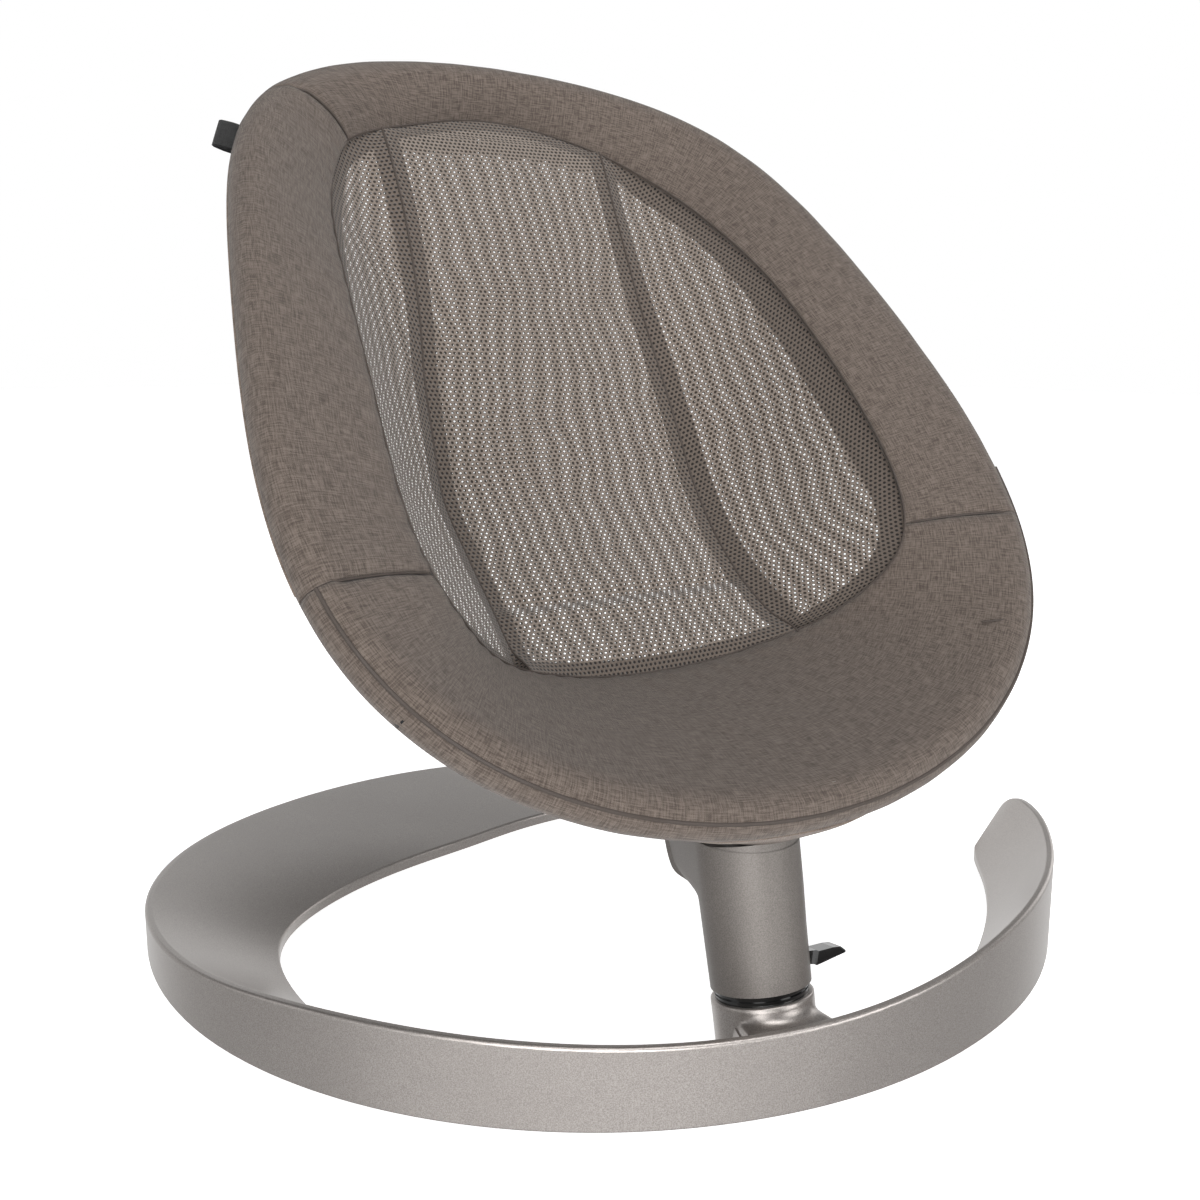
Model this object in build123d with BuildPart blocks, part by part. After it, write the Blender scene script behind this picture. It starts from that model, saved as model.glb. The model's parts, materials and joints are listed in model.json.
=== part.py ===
"""Swaying baby bouncer seat: an open swirl-shaped metal base, a short post that turns
about an axis leaning back, and an egg-shaped hoop with a sewn cover and a mesh sling.

Millimetres, +Z up. The origin is on the floor under the centre of the swivel gap. The
seat faces -Y and its head end is towards +Y. Seat surfaces are placed by their width
(x), their run along the hoop's side profile from foot to head (s) and their depth below
the plane of the hoop.
"""

from build123d import *
from math import cos, exp, sin, radians
import os

os.makedirs("parts", exist_ok=True)

# Base ring
RING_X, RING_Y = 56, 266        # centre of the ring's outer circle
CAST_Z = 2.0                    # underside of the casting, on its rubber pads
CAST_WALL = 5.0                 # wall of the hollow casting
RIM_R = 2.0                     # edge rounding of the casting

# Post: the sway axis passes through the gap's centre and leans towards the head end
LEAN = 12.0                     # degrees from vertical
GAP_Z = 44.0                    # height of the swivel gap's centre
GAP = 6.0                       # height of the gap
POST_R = 29.7                   # column radius at the gap
POST_TOP_R = 31.5               # column radius at its top
SPINDLE_R = 10.0
RUN_FIT = 0.05                  # radial clearance of a running fit
BORE_R = 22.0                   # bore of the column

WEB_PLANE = Plane.XY.offset(CAST_Z) * Pos(RING_X, RING_Y) * Rot(0, 0, -102) * Pos(298, 0)

# On the sway axis, as heights above the gap's centre
NUT_SEAT = -30.0
NUT_RECESS_R = 17.0
NUT_R = 15.0
WASHER_T = 2.0
PLATE_LOW, PLATE_T, PLATE_R = 24.0, 4.0, 21.0
LOWER_BUSH = (31.0, 47.0)
UPPER_BUSH = (60.0, 74.0)
BUSH_R = 14.0
CLIP_W = 75.0
SPINDLE_TOP = 79.0
BORE_TOP = 80.0
COLUMN_TOP = 90.0
GUSSET_X = 19.0

# Rubber pads under the casting
PAD_R = 5.5
PAD_DEPTH = 1.5
PAD_STATIONS = (1, 4, 12, 14, 16, 18)
BOSS_PAD_R, BOSS_PAD_Y = 24.0, -9.0

# Sway lock: lever in the column's wall, plunger inside the column, stop pin opposite
LOCK_ANGLE = -8.0               # round the sway axis from +X towards the head end
LEVER_W = 12.0                  # lever pivot's height above the gap's centre
LEVER_RADIUS = 25.5             # lever pivot's distance from the sway axis
PLUNGER_R = 3.0
PLUNGER_RADIUS = 15.5
STOP_ANGLE = 220.0
STOP_RADIUS = 16.0
SWAY = 28.0                     # degrees to each side
SWAY_SLOT = 39.0                # half angle of the stop pin's slot

GUIDE_LOW, GUIDE_T = 3.2, 4.0   # disc that guides the plunger
PLUNGER_LOW = 4.0
LEVER_PIN_R = 1.8
LEVER_PIN_LENGTH = 16.0

# Recline latch behind the fork, along Y at the pivot's height
LATCH_R = 4.0
LATCH_BLADE = 2.2
BLOCK_FRONT, BLOCK_REAR = 70.0, 88.0
SPRING_SEAT = 75.0

# Recline pivot, along X, in the fork on top of the column
PIVOT_Y, PIVOT_Z = 34.0, 149.0
PIVOT_PIN_R = 5.0
FORK_X = 14.0                   # half gap of the fork
FORK_WALL = 7.0
NOTCH_STEP = 8.0                # degrees between the three recline notches
QUADRANT_R = 32.0               # rim radius of the notched quadrant
NOTCH_DEPTH = 5.0
PIVOT_BUSH_R = 7.0
SCREW_R = 2.5

# Cross tube on the carrier's arm
CROSS_R = 9.0
ARM_Y, CROSS_Z = 6.0, 167.0
CROSS_ANGLE = 50                # where it meets the hoop, degrees from the foot
COLLAR_R = 12.0

# Seat hoop: outline and side profile
SEAT_LENGTH = 593.0             # along the side profile, foot to head
FOOT_Y, FOOT_Z = -52.0, 160.0   # front end of the outline
FOOT_ANGLE = 36.0               # profile's angle from vertical at the foot
HEAD_EXTRA = 17.0               # degrees that the profile leans further at the head
HALF_WIDTH = 289.0
EGG, SQUARE, TRIPLE = 0.034, 0.137, -0.041
HOOP_R = 10.0                   # hoop tube
HOOP_INSET = 13.0               # tube centre inside the covered outline
CLEAR = 0.4                     # between soft pieces and their neighbours

# Cover and sling: stations round the outline (degrees from the foot, border width,
# depth of the border's inner edge)
BORDER = [(0, 136, 96), (20, 128, 88), (40, 104, 58), (56, 86, 24), (68, 79, 12),
          (90, 74, 7), (110, 67, 10), (130, 62, 18), (150, 54, 20), (166, 40, 17), (180, 32, 15)]
WAIST = 64                      # where the side borders meet the foot panel, in degrees
HEAD_SEAM = 152                 # where the head border meets the left border
SEAM_ASLANT = 7.0               # turn of that seam's ends, in degrees to each side
BORDER_START = 26.5             # outer edge of the border panels, inside the hoop tube
BORDER_THICK = 8.0
SKIRT_WIDTH = 45.0
SKIRT_DEPTH = 32.0
FUNNEL_LOW_X, FUNNEL_LOW_Y = 40, 44
FUNNEL_HIGH_X, FUNNEL_HIGH_Y = 112, 56
LABEL_ANGLE, LABEL_WIDTH, LABEL_LENGTH = 130, 28.0, 13.0
MESH_THICK = 3.0
# Sling stations: share of the seat length, half width and depth of the centre panel
SLING = [(0.27, 97, 92), (0.33, 97, 102), (0.40, 97, 109), (0.48, 97, 108), (0.56, 96, 97),
         (0.66, 91, 77), (0.76, 86, 54), (0.84, 85, 35), (0.89, 83, 24)]


# ---------------------------------------------------------------- shared geometry

def profile(s):
    """Point (y, z) and angle from vertical at run s along the hoop's side profile."""
    steps = 24
    y, z = FOOT_Y, FOOT_Z
    for i in range(steps):
        middle = (i + 0.5) / steps * s
        lean = radians(FOOT_ANGLE + HEAD_EXTRA * (middle / SEAT_LENGTH) ** 2)
        y += sin(lean) * s / steps
        z += cos(lean) * s / steps
    return y, z, radians(FOOT_ANGLE + HEAD_EXTRA * (s / SEAT_LENGTH) ** 2)


def seat_normal(s):
    """Unit vector out of the hoop's plane, towards the sitter."""
    lean = profile(s)[2]
    return Vector(0, -cos(lean), sin(lean))


def seat_point(x, s, depth):
    """Point at width x, run s and depth below the hoop's plane."""
    y, z, _ = profile(s)
    return Vector(x, y, z) - seat_normal(s) * depth


def outline(angle, inset=0.0):
    """Width and run of the hoop's outline at an angle from the foot, in degrees."""
    def egg(t):
        width = HALF_WIDTH * sin(t) * (1 + EGG * cos(t) + SQUARE * cos(2 * t) + TRIPLE * cos(3 * t))
        return width, SEAT_LENGTH * (1 - cos(t)) / 2
    t, step = radians(angle), 1e-3
    x, s = egg(t)
    x0, s0 = egg(t - step)
    x1, s1 = egg(t + step)
    length = ((x1 - x0) ** 2 + (s1 - s0) ** 2) ** 0.5
    return x - inset * (s1 - s0) / length, s + inset * (x1 - x0) / length


def between(stations, at):
    """Straight-line values of a station list at a position."""
    for low, high in zip(stations, stations[1:]):
        if at <= high[0]:
            share = (at - low[0]) / (high[0] - low[0])
            return [a + (b - a) * share for a, b in zip(low[1:], high[1:])]
    return list(stations[-1][1:])


def border_edge(angle):
    """Width, run and depth of the border's inner edge at an angle, which may be negative."""
    width, depth = between(BORDER, abs(angle))
    x, s = outline(abs(angle), width)
    return (x if angle >= 0 else -x), s, depth


def strip_section(start, end, offset):
    """Flat four-sided section from start to end, thickened by the vector offset."""
    along = end - start
    plane = Plane(origin=start, x_dir=along, z_dir=along.cross(offset))
    dx, dy = offset.dot(plane.x_dir), offset.dot(plane.y_dir)
    with BuildSketch(plane) as section:
        Polygon((0, 0), (along.length, 0), (along.length + dx, dy), (dx, dy), align=None)
    return section.sketch


def turned_frame(w):
    """Plane across the leaning sway axis, at distance w above the gap's centre."""
    lean = radians(LEAN)
    axis = Vector(0, sin(lean), cos(lean))
    return Plane(origin=Vector(0, 0, GAP_Z) + axis * w, x_dir=(1, 0, 0), z_dir=axis)


def save(part, name):
    """Label a finished piece and write its file."""
    part.label = name
    export_step(part, f"parts/{name}.step")
    return part


# ---------------------------------------------------------------- base body

# Stations round the ring, in degrees from +X about the ring's centre, clockwise from the
# raised tip to the flat tail: outer radius, rim height, inner radius, inner edge height
RING = [(-26, 334, 47, 309, 14), (-29, 335, 60, 305, 9), (-34, 336, 66, 301, 8), (-48, 336, 67, 294, 8),
        (-64, 336, 66, 294, 9), (-78, 335, 60, 304, 12), (-94, 335, 53, 318, 20),
        (-120, 335, 51, 322, 24), (-140, 335, 53, 314, 22), (-153, 335, 51, 296, 16),
        (-168, 335, 43, 273, 12), (-186, 334, 34, 243, 10), (-202, 331, 27, 196, 10),
        (-220, 323, 20, 152, 11), (-243, 305, 15, 124, 11), (-268, 287, 13, 122, 11),
        (-292, 273, 12, 136, 11), (-312, 264, 12, 160, 11), (-326, 256, 11.5, 188, 10.5),
        (-332, 246, 11, 212, 10)]


def ring_plane(angle):
    """Upright plane through the ring's centre: x is the radius, y is height."""
    a = radians(angle)
    return Plane(origin=(RING_X, RING_Y, 0), x_dir=(cos(a), sin(a), 0), z_dir=(sin(a), -cos(a), 0))


def make_base_ring():
    rim = 5.0
    with BuildPart() as ring:
        for angle, outer, height, inner, inner_height in RING:
            with BuildSketch(ring_plane(angle)):
                with BuildLine():
                    FilletPolyline((inner, CAST_Z), (outer, CAST_Z), (outer, height),
                                   (outer - rim, height), (inner, inner_height),
                                   radius=(1, 1, RIM_R, 1.4, RIM_R), close=True)
                make_face()
        loft()
        # the casting is hollow from below, closed at both ends
        for angle, outer, height, inner, inner_height in RING[2:-1]:
            with BuildSketch(ring_plane(angle)):
                near = min(inner + CAST_WALL, outer - 2 * CAST_WALL)
                far = outer - CAST_WALL - 1
                Polygon((near, CAST_Z - 1), (far, CAST_Z - 1), (far, CAST_Z + 0.5 * (height - CAST_Z)),
                        (near, inner_height - CAST_WALL), align=None)
        loft(mode=Mode.SUBTRACT)
        # boss under the column, blended into the inside of the front wall
        with BuildSketch(turned_frame(-GAP / 2)):
            Circle(POST_R)
        extrude(amount=-(GAP_Z + 20))
        with BuildSketch(WEB_PLANE):
            Trapezoid(70, 52, 80, rotation=90)
        extrude(amount=30, taper=6)
        # cut everything below the casting's underside
        with BuildSketch(Plane.XY.offset(CAST_Z)):
            Rectangle(1500, 1500)
        extrude(amount=-120, mode=Mode.SUBTRACT)
        # socket for the spindle, and the nut's recess below it
        with BuildSketch(turned_frame(-GAP / 2)):
            Circle(SPINDLE_R)
        extrude(amount=-80, mode=Mode.SUBTRACT)
        with BuildSketch(turned_frame(NUT_SEAT)):
            Circle(NUT_RECESS_R)
        extrude(amount=-60, mode=Mode.SUBTRACT)
        # blind pockets for the rubber pads
        with BuildSketch(Plane.XY.offset(CAST_Z)):
            with Locations(*pad_places()):
                Circle(PAD_R)
        extrude(amount=PAD_DEPTH, mode=Mode.SUBTRACT)
    return ring.part


def pad_places():
    """Places of the round rubber pads along the middle of the ring's underside."""
    places = []
    for index in PAD_STATIONS:
        angle, outer, _, inner, _ = RING[index]
        middle = max((outer + inner) / 2, outer - 90)
        places.append((RING_X + middle * cos(radians(angle)), RING_Y + middle * sin(radians(angle))))
    return places


def make_floor_pads():
    with BuildPart() as pads:
        with BuildSketch():
            with Locations(*pad_places()):
                Circle(PAD_R)
        extrude(amount=CAST_Z + PAD_DEPTH)
        chamfer(pads.faces().filter_by(Axis.Z).group_by(Axis.Z)[0].edges(), 0.6)
    return pads.part


def make_boss_pad():
    """Rubber disc that closes the nut's recess and stands on the floor under the post."""
    with BuildPart() as pad:
        with BuildSketch():
            with Locations((0, BOSS_PAD_Y)):
                Circle(BOSS_PAD_R)
        extrude(amount=CAST_Z)
        chamfer(pad.faces().sort_by(Axis.Z)[0].edges(), 0.6)
    return pad.part


def make_spindle():
    """Fixed steel shaft with a washer groove near its top and a thread for the nut."""
    with BuildPart() as spindle:
        with BuildSketch(turned_frame(NUT_SEAT - 9)):
            Circle(SPINDLE_R)
        extrude(amount=SPINDLE_TOP - NUT_SEAT + 9)
        chamfer(spindle.faces().sort_by(Axis.Z)[-1].edges(), 1.0)
        with BuildSketch(turned_frame(CLIP_W)):
            Circle(SPINDLE_R)
            Circle(SPINDLE_R - 1.0, mode=Mode.SUBTRACT)
        extrude(amount=1.2, mode=Mode.SUBTRACT)
    return spindle.part


def ring_between(low, high, inner_r, outer_r):
    """Plain ring on the sway axis from height low to high above the gap's centre."""
    with BuildPart() as piece:
        with BuildSketch(turned_frame(low)):
            Circle(outer_r)
            Circle(inner_r, mode=Mode.SUBTRACT)
        extrude(amount=high - low)
    return piece.part


def make_spindle_nut():
    with BuildPart() as nut:
        with BuildSketch(turned_frame(NUT_SEAT - WASHER_T)):
            RegularPolygon(NUT_R, 6)
            Circle(SPINDLE_R, mode=Mode.SUBTRACT)
        extrude(amount=-6.5)
    return nut.part


def make_swivel_ring():
    """Black plastic ring that fills the gap, with a grooved rim."""
    with BuildPart() as ring:
        with BuildSketch(turned_frame(-GAP / 2)):
            Circle(POST_R - 2)
            Circle(SPINDLE_R, mode=Mode.SUBTRACT)
        extrude(amount=GAP - 0.2)
        with BuildSketch(turned_frame(-0.6)):
            Circle(POST_R - 2)
            Circle(POST_R - 3.2, mode=Mode.SUBTRACT)
        extrude(amount=1.2, mode=Mode.SUBTRACT)
    return ring.part


def make_lock_plate():
    """Disc on the spindle: three holes for the lock plunger and a curved slot for the stop pin."""
    with BuildPart() as plate:
        with BuildSketch(turned_frame(PLATE_LOW)) as face:
            Circle(PLATE_R)
            Circle(SPINDLE_R, mode=Mode.SUBTRACT)
            with Locations(*(polar(PLUNGER_RADIUS, LOCK_ANGLE + turn) for turn in (-SWAY, 0, SWAY))):
                Circle(PLUNGER_R + 0.3, mode=Mode.SUBTRACT)
            with BuildLine():
                CenterArc((0, 0), STOP_RADIUS + 3, STOP_ANGLE - SWAY_SLOT, 2 * SWAY_SLOT)
                CenterArc((0, 0), STOP_RADIUS - 3, STOP_ANGLE - SWAY_SLOT, 2 * SWAY_SLOT)
                Line(polar(STOP_RADIUS + 3, STOP_ANGLE - SWAY_SLOT),
                     polar(STOP_RADIUS - 3, STOP_ANGLE - SWAY_SLOT))
                Line(polar(STOP_RADIUS + 3, STOP_ANGLE + SWAY_SLOT),
                     polar(STOP_RADIUS - 3, STOP_ANGLE + SWAY_SLOT))
            make_face(mode=Mode.SUBTRACT)
        extrude(amount=PLATE_T)
    return plate.part


def polar(radius, angle):
    """Point in a sketch at a radius and an angle in degrees."""
    return radius * cos(radians(angle)), radius * sin(radians(angle))


# ---------------------------------------------------------------- column body

def make_column():
    """Hollow cast column with a rear gusset and a fork for the recline pivot."""
    with BuildPart() as column:
        with BuildSketch(turned_frame(GAP / 2)):
            Circle(POST_R)
        with BuildSketch(turned_frame(COLUMN_TOP)):
            Circle(POST_TOP_R)
        loft()
        # rear gusset, a solid web that runs back under the seat
        with BuildSketch(Plane.YZ):
            with BuildLine():
                Polyline((34, 82), (10, 82), (10, 132), (BLOCK_REAR, 132), (BLOCK_REAR, 128), (79, 127))
                Spline((79, 127), (71.5, 115), (67, 104.5), (62.5, 99.5), (55, 97.6), (47, 97),
                       (41.3, 94.9), (37, 91), (34.6, 86), (34, 82))
            make_face()
        extrude(amount=GUSSET_X, both=True)
        # block that guides the recline latch
        with BuildSketch(Plane.XY.offset(126)):
            with Locations((0, (BLOCK_FRONT + BLOCK_REAR) / 2)):
                RectangleRounded(24, BLOCK_REAR - BLOCK_FRONT, 3)
        extrude(amount=PIVOT_Z - 126 + 11)
        # fork ears
        with BuildSketch(Plane.YZ.offset(FORK_X)):
            with Locations((PIVOT_Y, PIVOT_Z)):
                Circle(13)
            with Locations((PIVOT_Y, 130)):
                Rectangle(26, 38)
        extrude(amount=FORK_WALL)
        mirror(about=Plane.YZ)
        # room for the carrier's hub and quadrant between the ears
        with BuildSketch(Plane.YZ.offset(-FORK_X)):
            with Locations((PIVOT_Y, PIVOT_Z)):
                Circle(QUADRANT_R + 1.5)
        extrude(amount=2 * FORK_X, mode=Mode.SUBTRACT)
        # bore, bush seats and pivot hole
        with BuildSketch(turned_frame(0)):
            Circle(BORE_R)
        extrude(amount=LOWER_BUSH[0], mode=Mode.SUBTRACT)
        with BuildSketch(turned_frame(0)):
            Circle(BUSH_R)
        extrude(amount=BORE_TOP, mode=Mode.SUBTRACT)
        with BuildSketch(Plane.YZ.offset(-40)):
            with Locations((PIVOT_Y, PIVOT_Z)):
                Circle(PIVOT_PIN_R)
        extrude(amount=80, mode=Mode.SUBTRACT)
        # slot for the lock lever
        with BuildSketch(lever_plane()):
            Rectangle(9.4, 17)
        extrude(amount=20, both=True, mode=Mode.SUBTRACT)
        with BuildSketch(lever_pin_plane()):
            Circle(LEVER_PIN_R)
        extrude(amount=LEVER_PIN_LENGTH, mode=Mode.SUBTRACT)
        # bore for the latch bar and its spring through the rear block
        with BuildSketch(Plane.XZ.offset(-BLOCK_REAR - 1)):
            with Locations((0, PIVOT_Z)):
                Circle(LATCH_R + RUN_FIT)
        extrude(amount=BLOCK_REAR - BLOCK_FRONT + 8, mode=Mode.SUBTRACT)
        with BuildSketch(Plane.XZ.offset(-BLOCK_REAR - 1)):
            with Locations((0, PIVOT_Z)):
                Circle(LATCH_R + 3.2)
        extrude(amount=BLOCK_REAR + 1 - SPRING_SEAT, mode=Mode.SUBTRACT)
    return column.part


def lever_plane():
    """Plane in the column's wall at the lock lever: z points out of the column, y is up."""
    frame = turned_frame(LEVER_W)
    out = frame.x_dir * cos(radians(LOCK_ANGLE)) + frame.y_dir * sin(radians(LOCK_ANGLE))
    side = frame.z_dir.cross(out)
    return Plane(origin=frame.origin + out * LEVER_RADIUS, x_dir=side, z_dir=out)


def lever_pin_plane():
    """Plane at one end of the lock lever's pin, facing along it."""
    place = lever_plane()
    start = place.origin - place.x_dir * LEVER_PIN_LENGTH / 2
    return Plane(origin=start, x_dir=place.y_dir, z_dir=place.x_dir)


def make_stop_pin():
    """Pin fixed in the plunger guide that runs in the lock plate's curved slot."""
    with BuildPart() as pin:
        with BuildSketch(turned_frame(GUIDE_LOW)):
            with Locations(polar(STOP_RADIUS, STOP_ANGLE)):
                Circle(2.5)
        extrude(amount=PLATE_LOW + PLATE_T + 1 - GUIDE_LOW)
    return pin.part


def make_plunger_guide():
    """Disc pressed into the column's bore that guides the plunger and holds the stop pin."""
    with BuildPart() as guide:
        with BuildSketch(turned_frame(GUIDE_LOW)):
            Circle(BORE_R)
            Circle(SPINDLE_R + 1, mode=Mode.SUBTRACT)
            with Locations(polar(PLUNGER_RADIUS, LOCK_ANGLE)):
                Circle(PLUNGER_R + RUN_FIT, mode=Mode.SUBTRACT)
            with Locations(polar(STOP_RADIUS, STOP_ANGLE)):
                Circle(2.5, mode=Mode.SUBTRACT)
        extrude(amount=GUIDE_T)
    return guide.part


def make_recline_pin():
    with BuildPart() as pin:
        with BuildSketch(Plane.YZ.offset(-FORK_X - FORK_WALL - 1)):
            with Locations((PIVOT_Y, PIVOT_Z)):
                Circle(PIVOT_PIN_R)
        extrude(amount=2 * (FORK_X + FORK_WALL + 1))
        with BuildSketch(Plane.YZ.offset(-FORK_X - FORK_WALL - 3.5)):
            with Locations((PIVOT_Y, PIVOT_Z)):
                Circle(PIVOT_PIN_R + 4)
        extrude(amount=3)
        chamfer(pin.faces().sort_by(Axis.X)[-1].edges(), 0.8)
    return pin.part


def make_lever_pin():
    with BuildPart() as pin:
        with BuildSketch(lever_pin_plane()):
            Circle(LEVER_PIN_R)
        extrude(amount=LEVER_PIN_LENGTH)
    return pin.part


# ---------------------------------------------------------------- sway lock

def make_lock_lever():
    """Black paddle outside the column, with an inner arm that lifts the plunger."""
    place = lever_plane()
    reach = LEVER_RADIUS - PLUNGER_RADIUS
    upright = Plane(origin=place.origin, x_dir=place.z_dir, z_dir=-place.x_dir)
    with BuildPart() as lever:
        with BuildSketch(upright):
            Circle(4.2)
            Polygon((-reach + 1.5, -1.6), (0, -2.8), (0, 2.8), (-reach + 1.5, 1.2), align=None)
            Polygon((0, -3.4), (10, -6.1), (32.5, -2.6), (28.5, 1.2), (23, 1.9), (12.5, 1.9),
                    (0, 3.4), align=None)
            with Locations((-reach + 1.5, -0.2)):
                Circle(1.6)
        extrude(amount=3.6, both=True)
        # the paddle outside the column is wider than its stem
        with BuildSketch(upright):
            Polygon((10, -6.1), (32.5, -2.6), (28.5, 1.2), (23, 1.9), (12.5, 1.9), align=None)
        extrude(amount=6.5, both=True)
        fillet(lever.faces().sort_by(Axis((0, 0, 0), tuple(place.z_dir)))[-1].edges(), 1.0)
        with BuildSketch(upright):
            Circle(LEVER_PIN_R + RUN_FIT)
        extrude(amount=10, both=True, mode=Mode.SUBTRACT)
    return lever.part


def make_lock_plunger():
    """Pin with a slot for the lever's round end; it rises into the lock plate."""
    place = lever_plane()
    with BuildPart() as plunger:
        with BuildSketch(turned_frame(PLUNGER_LOW)):
            with Locations(polar(PLUNGER_RADIUS, LOCK_ANGLE)):
                Circle(PLUNGER_R)
        extrude(amount=PLATE_LOW - 0.8 - PLUNGER_LOW)
        # window for the lever's end, with room for its swing
        upright = Plane(origin=place.origin, x_dir=place.z_dir, z_dir=-place.x_dir)
        with BuildSketch(upright):
            with Locations((-(LEVER_RADIUS - PLUNGER_RADIUS) + 3.0, 0)):
                Rectangle(8.4, 5.0)
        extrude(amount=8, both=True, mode=Mode.SUBTRACT)
    return plunger.part


# ---------------------------------------------------------------- recline latch

def make_latch_bar():
    with BuildPart() as bar:
        with BuildSketch(Plane.XZ.offset(-(QUADRANT_R + PIVOT_Y + 1))):
            with Locations((0, PIVOT_Z)):
                Circle(LATCH_R)
        extrude(amount=-(BLOCK_REAR + 4 - QUADRANT_R - PIVOT_Y - 1))
        with BuildSketch(Plane.XZ.offset(-(QUADRANT_R + PIVOT_Y + 0.3))):
            with Locations((0, PIVOT_Z)):
                Rectangle(2 * LATCH_R - 1, LATCH_BLADE)
        extrude(amount=-1)
    return bar.part


def make_latch_knob():
    with BuildPart() as knob:
        with BuildSketch(Plane.XZ.offset(-(BLOCK_REAR + 1))):
            with Locations((0, PIVOT_Z)):
                Circle(13)
                Circle(LATCH_R, mode=Mode.SUBTRACT)
        extrude(amount=-3)
        with BuildSketch(Plane.XZ.offset(-(BLOCK_REAR + 4))):
            with Locations((0, PIVOT_Z)):
                Circle(11)
        extrude(amount=-11)
        fillet(knob.faces().sort_by(Axis.Y)[-1].edges(), 2.5)
    return knob.part


def make_latch_spring():
    with BuildPart() as spring:
        with BuildLine() as coil:
            Helix(pitch=1.8, height=12.4, radius=5.6, center=(0, SPRING_SEAT + 0.7, PIVOT_Z),
                  direction=(0, 1, 0))
        with BuildSketch(Plane(origin=coil.edges()[0] @ 0, z_dir=coil.edges()[0] % 0)):
            Circle(0.5)
        sweep(is_frenet=True)
    return spring.part


# ---------------------------------------------------------------- seat body

def make_seat_carrier():
    """Casting on the recline pin: notched quadrant behind, arm to the hoop in front."""
    foot_x, foot_s = outline(0, HOOP_INSET)
    foot = seat_point(foot_x, foot_s, 0)
    with BuildPart() as carrier:
        with BuildSketch(Plane.YZ):
            with Locations((PIVOT_Y, PIVOT_Z)):
                Circle(13)
        extrude(amount=FORK_X - 0.3, both=True)
        with BuildSketch(Plane.YZ):
            with BuildLine():
                start = (PIVOT_Y + QUADRANT_R * cos(radians(-14)), PIVOT_Z + QUADRANT_R * sin(radians(-14)))
                end = (PIVOT_Y + QUADRANT_R * cos(radians(32)), PIVOT_Z + QUADRANT_R * sin(radians(32)))
                CenterArc((PIVOT_Y, PIVOT_Z), QUADRANT_R, -14, 46)
                Polyline(end, (PIVOT_Y, PIVOT_Z + 10), (PIVOT_Y, PIVOT_Z - 10), start)
            make_face()
            for notch in range(3):
                with Locations(Pos(PIVOT_Y, PIVOT_Z) * Rot(0, 0, notch * NOTCH_STEP) * Pos(QUADRANT_R, 0)):
                    Rectangle(2 * NOTCH_DEPTH, LATCH_BLADE + 0.5, mode=Mode.SUBTRACT)
        extrude(amount=6, both=True)
        with BuildSketch(Plane.YZ):
            Polygon((PIVOT_Y, PIVOT_Z - 12), (14, 145), (foot.Y + 12, foot.Z - 20.5),
                    (foot.Y + 4, foot.Z - 15), (foot.Y - 1, foot.Z - 11.5),
                    (foot.Y - 2, foot.Z - 3), (foot.Y + 14, foot.Z - 5),
                    (ARM_Y - 14, CROSS_Z - 2), (ARM_Y + 13, CROSS_Z - 2),
                    (PIVOT_Y, PIVOT_Z + 12), align=None)
        extrude(amount=FORK_X - 2, both=True)
        # seats for the hoop and the cross tube
        with BuildSketch(Plane.YZ.offset(-30)):
            with Locations((foot.Y, foot.Z)):
                Circle(HOOP_R + 0.1)
            with Locations((ARM_Y, CROSS_Z)):
                Circle(CROSS_R + 0.5)
        extrude(amount=60, mode=Mode.SUBTRACT)
        with BuildSketch(Plane.YZ.offset(-30)):
            with Locations((PIVOT_Y, PIVOT_Z)):
                Circle(PIVOT_BUSH_R)
        extrude(amount=60, mode=Mode.SUBTRACT)
        for place in screw_planes():
            with BuildSketch(place):
                Circle(SCREW_R + 0.1)
            extrude(amount=-16, mode=Mode.SUBTRACT)
    return carrier.part


def screw_planes():
    """Planes on the tube axes, facing up, for the screws through the hoop and the cross tube."""
    foot_x, foot_s = outline(0, HOOP_INSET)
    foot = seat_point(foot_x, foot_s, 0)
    return [Plane((x, y, z)) for x in (-6, 6) for y, z in ((foot.Y, foot.Z), (ARM_Y, CROSS_Z))]


def make_pivot_bushes():
    with BuildPart() as bushes:
        with BuildSketch(Plane.YZ.offset(1)):
            with Locations((PIVOT_Y, PIVOT_Z)):
                Circle(PIVOT_BUSH_R)
                Circle(PIVOT_PIN_R + RUN_FIT, mode=Mode.SUBTRACT)
        extrude(amount=FORK_X - 1.3)
        mirror(about=Plane.YZ)
    return bushes.part


def make_hoop():
    """Bent tube in the shape of the outline; its two ends meet in the carrier's seat."""
    points = [cover_point(angle, HOOP_INSET, 0)[0] for angle in (0.3, *range(12, 349, 12), 359.7)]
    with BuildPart() as hoop:
        with BuildLine() as path:
            Spline(*points)
        with BuildSketch(Plane(origin=path.edges()[0] @ 0, z_dir=path.edges()[0] % 0)):
            Circle(HOOP_R)
            Circle(HOOP_R - 2, mode=Mode.SUBTRACT)
        sweep()
        for place in screw_planes()[::2]:
            with BuildSketch(place):
                Circle(SCREW_R + 0.1)
            extrude(amount=20, both=True, mode=Mode.SUBTRACT)
    return hoop.part


def cross_end(side):
    """Hoop centre line point where the cross tube ends, and the hoop's direction there."""
    x, s = outline(CROSS_ANGLE, HOOP_INSET)
    x1, s1 = outline(CROSS_ANGLE + 1, HOOP_INSET)
    here = seat_point(side * x, s, 0)
    return here, seat_point(side * x1, s1, 0) - here


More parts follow.
